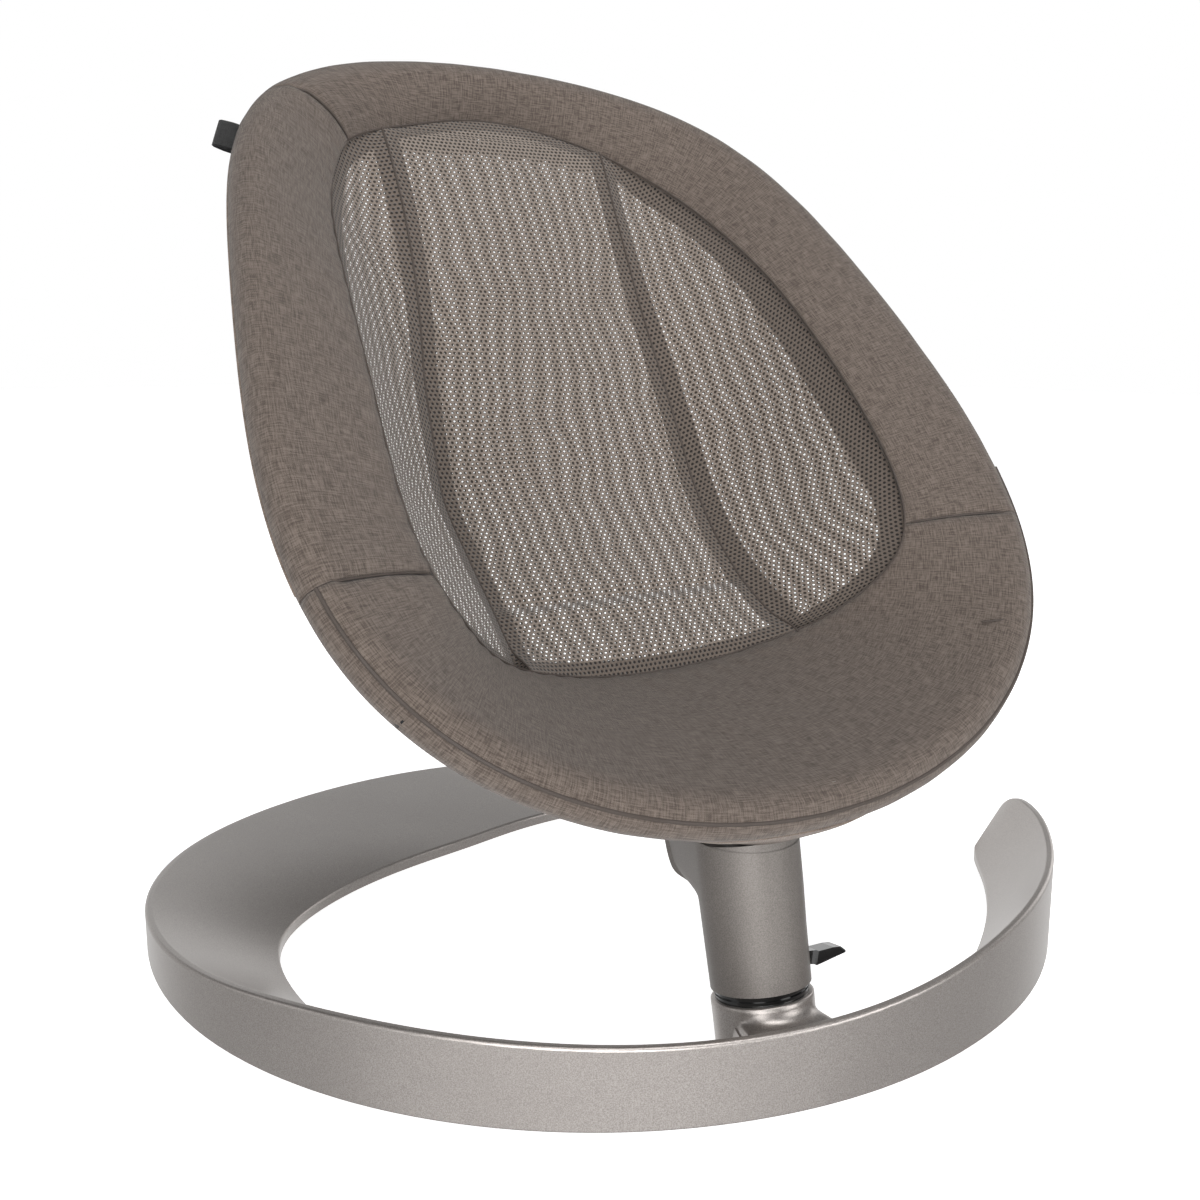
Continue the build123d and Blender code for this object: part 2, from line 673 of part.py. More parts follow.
def make_cross_tube():
    """Bowed tube under the seat pan, from one side of the hoop to the other."""
    with BuildPart() as tube:
        right = cross_end(1)[0]
        left = cross_end(-1)[0]
        with BuildLine() as path:
            Spline(left, (-178, 30, 213), (-100, 13, 181), (0, ARM_Y, CROSS_Z), (100, 13, 181),
                   (178, 30, 213), right)
        with BuildSketch(Plane(origin=path.edges()[0] @ 0, z_dir=path.edges()[0] % 0)):
            Circle(CROSS_R)
            Circle(CROSS_R - 2, mode=Mode.SUBTRACT)
        sweep()
        for side in (-1, 1):
            here, along = cross_end(side)
            with BuildSketch(Plane(origin=here - along.normalized() * 40, z_dir=along)):
                Circle(COLLAR_R + 0.1)
            extrude(amount=80, mode=Mode.SUBTRACT)
        for place in screw_planes()[1::2]:
            with BuildSketch(place):
                Circle(SCREW_R + 0.1)
            extrude(amount=20, both=True, mode=Mode.SUBTRACT)
    return tube.part


def make_hoop_collars():
    """Split collars that join the cross tube to the hoop."""
    with BuildPart() as collars:
        for side in (-1, 1):
            here, along = cross_end(side)
            with BuildSketch(Plane(origin=here - along.normalized() * 12, z_dir=along)):
                Circle(COLLAR_R)
                Circle(HOOP_R + 0.7, mode=Mode.SUBTRACT)
            extrude(amount=24)
    return collars.part


def make_screws(places):
    """Pan-head screws through a tube into the carrier, as one group."""
    with BuildPart() as screws:
        for place in places:
            with BuildSketch(place.offset(HOOP_R + 0.3)):
                Circle(4.5)
            extrude(amount=2.4)
            with BuildSketch(place.offset(HOOP_R + 0.3)):
                Circle(SCREW_R)
            extrude(amount=-(HOOP_R + 12))
    return screws.part


# ---------------------------------------------------------------- cover and sling

def cover_point(angle, inset, depth):
    """Point of the cover at an outline angle; angles past 180 are on the left side."""
    side = 1 if 0 <= angle <= 180 else -1
    near = abs(angle) if angle <= 180 else 360 - angle
    x, s = outline(near, inset)
    return seat_point(side * x, s, depth), s


def make_border(angles):
    """Padded border panel from beside the hoop tube to the edge of the mesh."""
    with BuildPart() as panel:
        for angle in angles:
            near = abs(angle) if angle <= 180 else 360 - angle
            # the seam beside the head runs aslant
            aslant = SEAM_ASLANT * exp(-((angle - 360 + HEAD_SEAM) / 14) ** 2)
            width, depth = between(BORDER, near + aslant)
            outer, s0 = cover_point(angle + aslant, BORDER_START, 1)
            inner, s1 = cover_point(angle - aslant, width, depth)
            add(strip_section(outer, inner, seat_normal((s0 + s1) / 2) * -BORDER_THICK))
        loft()
    return panel.part


def make_mesh_centre():
    with BuildPart() as panel:
        for share, half, depth in SLING:
            s = share * SEAT_LENGTH
            add(strip_section(seat_point(-half + CLEAR, s, depth), seat_point(half - CLEAR, s, depth),
                              seat_normal(s) * -MESH_THICK))
        loft()
    return panel.part


def edge_at(s):
    """Width and depth of the border's inner edge at a run along the side."""
    low, high = 20.0, 179.0
    for _ in range(30):
        middle = (low + high) / 2
        if border_edge(middle)[1] < s:
            low = middle
        else:
            high = middle
    x, _, depth = border_edge(low)
    return x, depth


def make_mesh_side(side):
    with BuildPart() as panel:
        for share, half, depth in SLING[1:]:
            s = share * SEAT_LENGTH
            edge_x, edge_depth = edge_at(s)
            add(strip_section(seat_point(side * (half + 1.5), s, depth),
                              seat_point(side * (edge_x - 2.5), s, edge_depth + 2),
                              seat_normal(s) * -MESH_THICK))
        loft()
    return panel.part


def make_rear_skirt(angles):
    """Band of the cover that returns behind the hoop, with an elastic hem."""
    with BuildPart() as skirt:
        for angle in angles:
            outer, s0 = cover_point(angle, 5, HOOP_R + CLEAR)
            inner, s1 = cover_point(angle, SKIRT_WIDTH, SKIRT_DEPTH)
            add(strip_section(outer, inner, seat_normal((s0 + s1) / 2) * -2.5))
        loft()
    return skirt.part


def make_under_cover():
    """Funnel of fabric from the front of the hoop to the top of the column, open behind."""
    with BuildPart() as funnel:
        for angle in range(-140, -39, 20):
            add(funnel_section(angle))
        loft()
    return funnel.part


def funnel_section(angle):
    """Section of the funnel's wall at an angle round the column, 0 towards +X."""
    a = radians(angle)
    low = Vector(FUNNEL_LOW_X * cos(a), 22 + FUNNEL_LOW_Y * sin(a), 139)
    high = Vector(FUNNEL_HIGH_X * cos(a), 14 + FUNNEL_HIGH_Y * sin(a), 149)
    return strip_section(low, high, Vector(cos(a), sin(a), -0.8).normalized() * 2.0)


def make_piping():
    """Cord sewn into the seam under the foot panel."""
    points = [cover_point(angle, -1.9, 3)[0] for angle in range(-60, 61, 15)]
    with BuildPart() as piping:
        with BuildLine() as path:
            Spline(*points)
        with BuildSketch(Plane(origin=path.edges()[0] @ 0, z_dir=path.edges()[0] % 0)):
            Circle(1.5)
        sweep()
    return piping.part


def make_label():
    """Blank woven loop on the outer edge of the left border."""
    angle = 360 - LABEL_ANGLE
    root = cover_point(angle, 2.2, 0)[0]
    tip = cover_point(angle, -LABEL_LENGTH, 0)[0]
    along = cover_point(angle + 2, 2.2, 0)[0] - root
    out = (tip - root).normalized()
    with BuildPart() as label:
        with BuildSketch(Plane(origin=root, x_dir=along, z_dir=out)):
            Rectangle(LABEL_WIDTH, 2.0)
            Rectangle(LABEL_WIDTH + 2, 0.6, mode=Mode.SUBTRACT)
        extrude(amount=LABEL_LENGTH)
        with BuildSketch(Plane(origin=root + out * LABEL_LENGTH, x_dir=along, z_dir=out)):
            Rectangle(LABEL_WIDTH, 2.0)
        extrude(amount=0.8)
    return label.part


def make_zip_tape():
    """Zip across the rear of the head, sewn to the rear skirts."""
    with BuildPart() as tape:
        for angle in range(152, 209, 8):
            outer, s0 = cover_point(angle, 19, 22)
            inner, s1 = cover_point(angle, 31, 28.5)
            add(strip_section(outer, inner, seat_normal((s0 + s1) / 2) * -1.5))
        loft()
    return tape.part


def make_zip_slider():
    centre, s = cover_point(156, 25, 31)
    normal = seat_normal(s) * -1
    with BuildPart() as slider:
        with BuildSketch(Plane(origin=centre, x_dir=(1, 0, 0), z_dir=normal)):
            RectangleRounded(8, 6, 1.5)
        extrude(amount=3)
        with BuildSketch(Plane(origin=centre + normal * 1.5, x_dir=(1, 0, 0), z_dir=normal)):
            with Locations((-11, 0)):
                RectangleRounded(20, 5, 2)
        extrude(amount=1.2)
    return slider.part


# ---------------------------------------------------------------- pieces

save(make_base_ring(), "base_ring")
save(make_floor_pads(), "floor_pads")
save(make_boss_pad(), "boss_pad")
save(make_spindle(), "spindle")
save(ring_between(NUT_SEAT - WASHER_T, NUT_SEAT, SPINDLE_R, NUT_R - 1), "spindle_washer")
save(make_spindle_nut(), "spindle_nut")
save(make_swivel_ring(), "swivel_ring")
save(make_lock_plate(), "lock_plate")
save(ring_between(CLIP_W, CLIP_W + 1.2, SPINDLE_R - 1.0, SPINDLE_R + 2.2), "retaining_ring")
save(make_column(), "column")
save(ring_between(*LOWER_BUSH, SPINDLE_R + RUN_FIT, BUSH_R), "lower_bush")
save(ring_between(*UPPER_BUSH, SPINDLE_R + RUN_FIT, BUSH_R), "upper_bush")
save(make_stop_pin(), "sway_stop_pin")
save(make_plunger_guide(), "plunger_guide")
save(make_recline_pin(), "recline_pin")
save(make_lever_pin(), "lock_lever_pin")
save(make_lock_lever(), "lock_lever")
save(make_lock_plunger(), "lock_plunger")
save(make_latch_bar(), "latch_bar")
save(make_latch_knob(), "latch_knob")
save(make_latch_spring(), "latch_spring")
save(make_seat_carrier(), "seat_carrier")
save(make_pivot_bushes(), "pivot_bushes")
save(make_hoop(), "seat_hoop")
save(make_cross_tube(), "cross_tube")
save(make_hoop_collars(), "hoop_collars")
save(make_screws(screw_planes()[::2]), "hoop_screws")
save(make_screws(screw_planes()[1::2]), "cross_tube_screws")
save(make_border([WAIST + 1, 80, 95, 110, 125, 140, 152, 166, 180, 194, 359 - HEAD_SEAM]),
     "cover_head_right")
save(make_border([361 - HEAD_SEAM, 220, 235, 250, 265, 280, 359 - WAIST]), "cover_left")
save(make_border([-WAIST, -50, -34, -17, 0, 17, 34, 50, WAIST]), "cover_foot")
save(make_mesh_centre(), "mesh_centre")
save(make_mesh_side(-1), "mesh_side_left")
save(make_mesh_side(1), "mesh_side_right")
save(make_rear_skirt([WAIST + 1, 85, 105, 125, 145, 165, 179.5]), "rear_skirt_right")
save(make_rear_skirt([180.5, 195, 215, 235, 255, 275, 359 - WAIST]), "rear_skirt_left")
save(make_under_cover(), "under_cover")
save(make_piping(), "foot_piping")
save(make_label(), "blank_label")
save(make_zip_tape(), "zip_tape")
save(make_zip_slider(), "zip_slider")
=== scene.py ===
"""Looks of the bouncer seat: sewn cover, mesh sling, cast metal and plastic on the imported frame."""
import json
from math import atan2, cos, exp, pi, radians, sin, sqrt

import bmesh
import bpy
import numpy as np
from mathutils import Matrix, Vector, noise


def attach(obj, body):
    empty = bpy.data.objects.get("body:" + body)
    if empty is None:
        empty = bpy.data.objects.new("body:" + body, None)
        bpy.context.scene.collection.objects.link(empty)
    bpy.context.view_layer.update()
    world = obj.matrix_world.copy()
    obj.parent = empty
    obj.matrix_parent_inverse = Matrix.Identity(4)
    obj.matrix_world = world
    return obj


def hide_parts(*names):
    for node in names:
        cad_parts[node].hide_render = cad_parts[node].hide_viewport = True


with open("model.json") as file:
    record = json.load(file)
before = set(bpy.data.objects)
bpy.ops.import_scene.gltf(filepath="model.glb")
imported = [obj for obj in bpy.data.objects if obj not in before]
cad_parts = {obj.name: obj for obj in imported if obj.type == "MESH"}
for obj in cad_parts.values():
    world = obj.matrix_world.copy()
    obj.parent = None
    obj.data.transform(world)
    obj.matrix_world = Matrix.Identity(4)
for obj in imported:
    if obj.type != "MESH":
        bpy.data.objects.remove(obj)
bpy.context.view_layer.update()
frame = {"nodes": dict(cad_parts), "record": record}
NODES = frame["nodes"]

# ------------------------------------------------------------------ seat geometry, as in part.py
LENGTH = 0.593                  # run of the hoop from foot to head, along its side profile
FOOT_Y, FOOT_Z = -0.052, 0.160  # foot end of the hoop
FOOT_ANGLE, HEAD_EXTRA = 36.0, 17.0                 # lean from vertical at the foot, and the head's extra
HALF_WIDTH, EGG, SQUARE, TRIPLE = 0.289, 0.034, 0.137, -0.041       # terms of the outline's width
WAIST, HEAD_SEAM = 64, 152      # outline angles of the waist seams and of the upper left seam
SEAM_ASLANT = 7.0               # degrees by which the upper left seam turns to each side of its angle
LABEL_ANGLE, LABEL_WIDTH, LABEL_LENGTH = 130, 0.028, 0.013
TUBE_INSET = 0.013              # middle of the border's wrapped edge, in from the outline
WRAP = 0.0130                   # radius of the cover round the hoop tube and its collars
CORNER = 0.009                  # the left border narrows by this much at the mesh's upper left corner
CORNER_SPREAD = 11              # degrees over which it does so
TUCK = 0.0035                   # the sling reaches this far under the border's inner edge
# Border stations: outline angle from the foot, width, and depth of the inner edge.
BORDER = [(0, 0.136, 0.096), (20, 0.128, 0.088), (40, 0.104, 0.058), (56, 0.086, 0.024), (68, 0.079, 0.012),
          (90, 0.074, 0.007), (110, 0.067, 0.010), (130, 0.062, 0.018), (150, 0.054, 0.020),
          (166, 0.040, 0.017), (180, 0.032, 0.015)]
# Panel seam stations: share of LENGTH from the foot, distance from the middle, and depth.
SEAMS = [(0.20, 0.102, 0.082), (0.27, 0.100, 0.092), (0.33, 0.097, 0.102), (0.40, 0.097, 0.109),
         (0.48, 0.099, 0.110), (0.55, 0.097, 0.099), (0.62, 0.094, 0.086), (0.69, 0.089, 0.070),
         (0.76, 0.086, 0.053), (0.83, 0.085, 0.036), (0.90, 0.086, 0.020), (0.96, 0.087, 0.013)]


def bell(x, centre, spread):
    """1 at the centre, falling smoothly towards 0 over about twice the spread."""
    return exp(-((x - centre) / spread) ** 2)


def smoothstep(low, high, x):
    """0 at low, 1 at high, smooth between; low may be the greater."""
    t = min(max((x - low) / (high - low), 0.0), 1.0)
    return t * t * (3 - 2 * t)


def from_foot(angle):
    """Angle from the foot, 0 to 180, of an outline angle on either side."""
    return abs(angle) if angle <= 180 else 360 - angle


def profile(s):
    """Point (y, z) and angle from vertical at run s along the hoop's side profile."""
    steps = 12
    y, z = FOOT_Y, FOOT_Z
    for i in range(steps):
        lean = radians(FOOT_ANGLE + HEAD_EXTRA * ((i + 0.5) / steps * s / LENGTH) ** 2)
        y += sin(lean) * s / steps
        z += cos(lean) * s / steps
    return y, z, radians(FOOT_ANGLE + HEAD_EXTRA * (s / LENGTH) ** 2)


def seat_point(x, s, depth):
    """Point at width x, run s and depth below the hoop's plane."""
    y, z, lean = profile(s)
    return Vector((x, y + cos(lean) * depth, z - sin(lean) * depth))


def outline(angle, inset=0.0):
    """Width and run of the hoop's outline at an angle from the foot, in degrees."""
    def egg(t):
        width = HALF_WIDTH * sin(t) * (1 + EGG * cos(t) + SQUARE * cos(2 * t) + TRIPLE * cos(3 * t))
        return width, LENGTH * (1 - cos(t)) / 2
    t, step = radians(angle), 1e-3
    x, s = egg(t)
    x0, s0 = egg(t - step)
    x1, s1 = egg(t + step)
    length = sqrt((x1 - x0) ** 2 + (s1 - s0) ** 2)
    return x - inset * (s1 - s0) / length, s + inset * (x1 - x0) / length


def cover_point(angle, inset, depth):
    """Point of the cover; angles below 0 or past 180 are on the left side."""
    side = 1 if 0 <= angle <= 180 else -1
    x, s = outline(from_foot(angle), inset)
    return seat_point(side * x, s, depth)


def smooth(stations, at):
    """Values of a station list at a position, on a smooth curve through the stations."""
    xs = [row[0] for row in stations]
    at = min(max(at, xs[0]), xs[-1])
    i = max(j for j in range(len(xs) - 1) if xs[j] <= at)
    h = xs[i + 1] - xs[i]
    t = (at - xs[i]) / h
    values = []
    for c in range(1, len(stations[0])):
        def slope(j):
            low, high = max(j - 1, 0), min(j + 1, len(xs) - 1)
            return (stations[high][c] - stations[low][c]) / (xs[high] - xs[low])
        a, b = stations[i][c], stations[i + 1][c]
        m0, m1 = slope(i) * h, slope(i + 1) * h
        values.append((2 * t ** 3 - 3 * t * t + 1) * a + (t ** 3 - 2 * t * t + t) * m0
                      + (3 * t * t - 2 * t ** 3) * b + (t ** 3 - t * t) * m1)
    return values


def mirrored(station, middle):
    """A border station reflected past one end of the list, so that the curve ends level."""
    return (2 * middle - station[0],) + station[1:]


BORDER_CURVE = [mirrored(BORDER[1], 0)] + BORDER + [mirrored(BORDER[-2], 180)]


def border_at(angle):
    """Width and inner depth of the border at an outline angle."""
    width, depth = smooth(BORDER_CURVE, from_foot(angle))
    corner = CORNER * bell(angle, 360 - HEAD_SEAM, CORNER_SPREAD)
    return width - corner, depth - 0.3 * corner


def sling_edge(side):
    """Run, half width and depth of the sling's edge on one side, for each degree from the foot."""
    rows = []
    for step in range(0, 181):
        width, depth = border_at(step if side > 0 else 360 - step)
        x, s = outline(step, width - TUCK)
        if rows:
            s = max(s, rows[-1][0] + 2e-5)
        rows.append((s, max(x, 0.0), depth))
    return np.array(rows).T


EDGES = {1: sling_edge(1), -1: sling_edge(-1)}
FOOT_ROWS = 48                  # degrees of the edge that lie along the foot panel
FOOT_S, FOOT_X, FOOT_D = EDGES[1][:, :FOOT_ROWS]
PANEL_GAP = 0.004               # a side panel narrower than this is left out of the sling's shape
SEAM_RISE = 0.0025              # the sling lies this much higher at the panel seams than SEAMS says


def sling_depth(x, s):
    """Depth of the mesh sling below the hoop's plane at width x and run s."""
    q = abs(x)
    runs, widths, depths = EDGES[-1 if x < 0 else 1]
    xe = float(np.interp(s, runs, widths))
    de = float(np.interp(s, runs, depths))
    xs, ds = smooth(SEAMS, s / LENGTH)
    share = s / LENGTH
    crease = 0.0045 * bell(share, 0.335, 0.009) - 0.003 * bell(share, 0.315, 0.012)
    flat = ds + crease * smoothstep(0.10, 0.075, q)
    if q <= FOOT_X[-1]:
        near = bell(s, float(np.interp(q, FOOT_X, FOOT_S)), 0.016)
        flat += (float(np.interp(q, FOOT_X, FOOT_D)) - flat) * near
    if xe <= xs + PANEL_GAP:
        return flat + (de - flat) * min(q / max(xe, 1e-4), 1.0) ** 6
    if q <= xs:
        return flat - SEAM_RISE * (q / xs) ** 4
    t = min((q - xs) / (xe - xs), 1.0)
    bow = 0.010 * sin(pi * t) * smoothstep(0.28, 0.45, share) * smoothstep(0.97, 0.8, share)
    at_seam = ds - SEAM_RISE
    return at_seam + (de - at_seam) * t + bow * smoothstep(0.0, 0.05, xe - xs)


# ------------------------------------------------------------------ mesh helpers
def grid(name, rows, material, uv, edge=None, close_across=False, close_along=False):
    """Object from a grid of points, with real sizes in its UV map and optional seam distances."""
    count, width = len(rows), len(rows[0])
    points = [p for row in rows for p in row]
    faces = []
    for i in range(count if close_along else count - 1):
        for j in range(width if close_across else width - 1):
            a, b = (i + 1) % count, (j + 1) % width
            faces.append((i * width + j, i * width + b, a * width + b, a * width + j))
    data = bpy.data.meshes.new(name)
    data.from_pydata([tuple(p) for p in points], [], faces)
    layer = data.uv_layers.new(name="cloth")
    second = data.uv_layers.new(name="edge") if edge else None
    corners = []
    seam_corners = []
    for i in range(count if close_along else count - 1):
        for j in range(width if close_across else width - 1):
            for a, b in ((i, j), (i, j + 1), (i + 1, j + 1), (i + 1, j)):
                corners.append(uv(a, b))
                if edge:
                    seam_corners.append(edge(a, b))
    layer.data.foreach_set("uv", np.array(corners, np.float32).ravel())
    if edge:
        second.data.foreach_set("uv", np.array(seam_corners, np.float32).ravel())
    data.materials.append(material)
    data.polygons.foreach_set("use_smooth", [True] * len(data.polygons))
    data.update()
    obj = bpy.data.objects.new(name, data)
    bpy.context.scene.collection.objects.link(obj)
    return obj


def running(points):
    """Distances along a chain of points."""
    total, out = 0.0, [0.0]
    for a, b in zip(points, points[1:]):
        total += (b - a).length
        out.append(total)
    return out


def cloth_uv(rows):
    """UV function of a grid of points: real distances across and along it."""
    runs = running([row[0] for row in rows])
    across = [running(row) for row in rows]
    return lambda i, j: (across[i][j], runs[i])


def thicken(obj, thickness, offset=0):
    """Gives a sheet its thickness; offset 0 puts it half to each side."""
    solid = obj.modifiers.new("thickness", "SOLIDIFY")
    solid.thickness = thickness
    solid.offset = offset
    return apply_all(obj)


def apply_all(obj):
    """Bakes an object's modifiers into its mesh."""
    bpy.context.view_layer.update()
    graph = bpy.context.evaluated_depsgraph_get()
    data = bpy.data.meshes.new_from_object(obj.evaluated_get(graph), preserve_all_data_layers=True,
                                           depsgraph=graph)
    obj.modifiers.clear()
    obj.data = data
    return obj


def tube(name, points, radius, material, sides=10, closed=False):
    """Round tube along a chain of points."""
    rows = []
    count = len(points)
    up = Vector((0.1, 0.2, 1)).normalized()
    for i, p in enumerate(points):
        ahead = points[(i + 1) % count] if closed or i < count - 1 else p
        behind = points[i - 1] if closed or i > 0 else p
        along = (ahead - behind).normalized()
        across = along.cross(up).normalized()
        lift = across.cross(along)
        rows.append([p + (across * cos(2 * pi * k / sides) + lift * sin(2 * pi * k / sides)) * radius
                     for k in range(sides)])
    run = running(points) + [0]
    return grid(name, rows, material, lambda i, j: (j / sides * 2 * pi * radius, run[min(i, count)]),
                close_across=True, close_along=closed)


# ------------------------------------------------------------------ shader helpers
class Shader:
    """A node material under construction, with short calls for its sums."""

    def __init__(self, name):
        self.material = bpy.data.materials.new(name)
        self.material.use_nodes = True
        self.tree = self.material.node_tree
        self.tree.nodes.clear()
        self.out = self.tree.nodes.new("ShaderNodeOutputMaterial")
        self.bsdf = self.tree.nodes.new("ShaderNodeBsdfPrincipled")
        self.tree.links.new(self.bsdf.outputs[0], self.out.inputs[0])

    def node(self, kind, **settings):
        made = self.tree.nodes.new(kind)
        for key, value in settings.items():
            setattr(made, key, value)
        return made

    def put(self, socket, value):
        if isinstance(value, bpy.types.NodeSocket):
            self.tree.links.new(value, socket)
        else:
            socket.default_value = value

    def math(self, operation, *values):
        made = self.node("ShaderNodeMath", operation=operation)
        for socket, value in zip(made.inputs, values):
            self.put(socket, value)
        return made.outputs[0]

    def ramp(self, value, low, high, start=0.0, end=1.0):
        made = self.node("ShaderNodeMapRange", interpolation_type="SMOOTHSTEP")
        for socket, item in zip(made.inputs, (value, low, high, start, end)):
            self.put(socket, item)
        return made.outputs[0]

    def mix(self, share, a, b):
        made = self.node("ShaderNodeMix", data_type="RGBA")
        self.put(made.inputs[0], share)
        self.put(made.inputs[6], a)
        self.put(made.inputs[7], b)
        return made.outputs[2]

    def noise(self, vector, scale, detail=2.0, rough=0.5):
        made = self.node("ShaderNodeTexNoise")
        self.put(made.inputs["Vector"], vector)
        made.inputs["Scale"].default_value = scale
        made.inputs["Detail"].default_value = detail
        made.inputs["Roughness"].default_value = rough
        return made.outputs["Fac"]

    def place(self):
        return self.node("ShaderNodeTexCoord").outputs["Object"]

    def uv(self, name):
        split = self.node("ShaderNodeSeparateXYZ")
        layer = self.node("ShaderNodeUVMap", uv_map=name)
        self.tree.links.new(layer.outputs[0], split.inputs[0])
        return split.outputs[0], split.outputs[1], layer.outputs[0]

    def bump(self, height, distance, strength=1.0, normal=None):
        made = self.node("ShaderNodeBump")
        made.inputs["Strength"].default_value = strength
        made.inputs["Distance"].default_value = distance
        self.put(made.inputs["Height"], height)
        if normal is not None:
            self.put(made.inputs["Normal"], normal)
        return made.outputs[0]

    def set(self, **values):
        for key, value in values.items():
            self.put(self.bsdf.inputs[key.replace("_", " ")], value)
        return self.material


def rgb(text):
    """Linear colour of a hex code."""
    parts = [int(text[i:i + 2], 16) / 255 for i in (0, 2, 4)]
    return tuple(c / 12.92 if c <= 0.04045 else ((c + 0.055) / 1.055) ** 2.4 for c in parts) + (1.0,)


THREADS_ACROSS, THREADS_ALONG = 1300.0, 110.0       # noise cells per metre across and along a thread


def woven(name, dark, mid, light, pitch=0.00105):
    """Heather plain weave: fine uneven warp and weft threads, with a soft nap."""
    sh = Shader(name)
    u, v, _ = sh.uv("cloth")
    warp = sh.math("SINE", sh.math("MULTIPLY", u, 2 * pi / pitch))
    weft = sh.math("SINE", sh.math("MULTIPLY", v, 2 * pi / pitch))
    weave = sh.math("MULTIPLY", sh.math("ADD", sh.math("MULTIPLY", warp, weft), 1.0), 0.5)

    def threads(along_u, along_v):
        """Noise with its own cells per metre along u and v, drawn out along the lesser."""
        joined = sh.node("ShaderNodeCombineXYZ")
        sh.put(joined.inputs[0], sh.math("MULTIPLY", u, along_u))
        sh.put(joined.inputs[1], sh.math("MULTIPLY", v, along_v))
        return sh.noise(joined.outputs[0], 1.0, 2.0, 0.6)

    long_v = threads(THREADS_ACROSS, THREADS_ALONG)
    long_u = threads(THREADS_ALONG, THREADS_ACROSS)
    slub = threads(60.0, 700.0)
    heather = sh.math("MULTIPLY", sh.math("ADD", long_u, long_v), 0.5)
    base = sh.mix(sh.ramp(heather, 0.36, 0.64), dark, light)
    base = sh.mix(sh.ramp(weave, 0.0, 1.0, 0.0, 0.25), base, mid)
    base = sh.mix(sh.ramp(slub, 0.55, 0.75, 0.0, 0.22), base, dark)
    cloud = sh.noise(sh.place(), 9.0, 3.0)
    base = sh.mix(sh.ramp(cloud, 0.3, 0.7, 0.0, 0.05), base, dark)
    height = sh.math("ADD", sh.math("MULTIPLY", weave, 0.6), sh.math("MULTIPLY", heather, 0.8))
    sh.set(Base_Color=base, Roughness=0.92, Sheen_Weight=0.10, Sheen_Roughness=0.5,
           Specular_IOR_Level=0.2, Normal=sh.bump(height, 0.0003, 0.8))
    return sh.material


ROOT3 = sqrt(3)
PORE_WIDE = 1.1                 # pores are this much wider across the panel than along it
BAND_SEAM, BAND_RIM = 0.010, 0.014                  # reach of the closed band from a seam, and from the rim
BAND_FADE = 0.0005
BACK_WIDE = 1.36                # the back layer's pores stand this much farther apart across the panel
# Colours of the closed band: its pores are painted near black as shade of the layer behind them, and its
# yarn.
BAND_PORE_SHADE, BAND_YARN = rgb("1e1916"), rgb("544b44")


def netting(name, yarn, shadow, pitch=0.0034):
    """Warp-knitted mesh with pores in a honeycomb, over a back layer whose pores drift in and out of
    line with them. Its pores are painted in a shadow colour, as shade inside the mesh. It is closed
    to a double layer at its bands, with darker yarn and pores painted near black as shade."""
    sh = Shader(name)
    u, v, uv = sh.uv("cloth")
    seam, rim, _ = sh.uv("edge")

    def cell(across, along, offset):
        a = sh.math("SUBTRACT", sh.math("FRACT", sh.math("ADD", across, offset)), 0.5)
        b = sh.math("SUBTRACT", sh.math("FRACT", sh.math("ADD", along, offset)), 0.5)
        b = sh.math("MULTIPLY", b, ROOT3 * PORE_WIDE)
        return sh.math("SQRT", sh.math("ADD", sh.math("MULTIPLY", a, a), sh.math("MULTIPLY", b, b)))

    def layer(wide):
        """Distance to the nearest pore of a layer, in pore widths, with the layer scaled across."""
        across = sh.math("MULTIPLY", u, 1 / (pitch * wide))
        along = sh.math("MULTIPLY", v, 1 / (pitch * ROOT3))
        return sh.math("MINIMUM", cell(across, along, 0.0), cell(across, along, 0.5))

    def drift(scale, distance):
        """Smooth shift of the back layer, up to half the distance to each side."""
        return sh.math("MULTIPLY", sh.math("SUBTRACT", sh.noise(sh.place(), scale, 2.0), 0.5), distance)

    def closed(distance, half):
        """1 nearer than half to a line, 0 farther from it."""
        return sh.ramp(distance, half - BAND_FADE, half + BAND_FADE, 1.0, 0.0)

    pore = layer(1.0)
    slow, quick = drift(13.0, 0.012), drift(95.0, 0.0010)
    u = sh.math("ADD", u, sh.math("ADD", slow, quick))
    v = sh.math("ADD", v, sh.math("ADD", sh.math("MULTIPLY", slow, 0.15), quick))
    behind = layer(BACK_WIDE)
    band = sh.math("MAXIMUM", closed(seam, BAND_SEAM), closed(rim, BAND_RIM))
    hole = sh.ramp(pore, 0.20, 0.27, 1.0, 0.0)
    fibre = sh.noise(uv, 2600.0, 2.0)
    # Pores are painted in the shadow colour, as painted shade inside the mesh.
    colour = sh.mix(sh.ramp(pore, 0.27, 0.37), shadow, yarn)
    colour = sh.mix(sh.math("MULTIPLY", sh.ramp(fibre, 0.3, 0.7), 0.35), colour, shadow)
    # In the bands the pores are painted near black, as painted shade of the layer behind.
    banded = sh.mix(sh.ramp(pore, 0.25, 0.36), BAND_PORE_SHADE, BAND_YARN)
    colour = sh.mix(band, colour, banded)
    height = sh.math("ADD", sh.ramp(pore, 0.18, 0.42), sh.math("MULTIPLY", fibre, 0.3))
    sh.set(Base_Color=colour, Roughness=0.85, Sheen_Weight=0.15, Sheen_Roughness=0.5,
           Specular_IOR_Level=0.25, Normal=sh.bump(height, 0.0007, 0.9))
    clear = sh.node("ShaderNodeBsdfTransparent")
    blend = sh.node("ShaderNodeMixShader")
    openness = sh.math("MULTIPLY", hole, sh.math("SUBTRACT", 1.0, band))
    openness = sh.math("MULTIPLY", openness, sh.ramp(behind, 0.17, 0.25, 1.0, 0.0))
    sh.put(blend.inputs[0], openness)
    sh.tree.links.new(sh.bsdf.outputs[0], blend.inputs[1])
    sh.tree.links.new(clear.outputs[0], blend.inputs[2])
    sh.tree.links.new(blend.outputs[0], sh.out.inputs[0])
    return sh.material


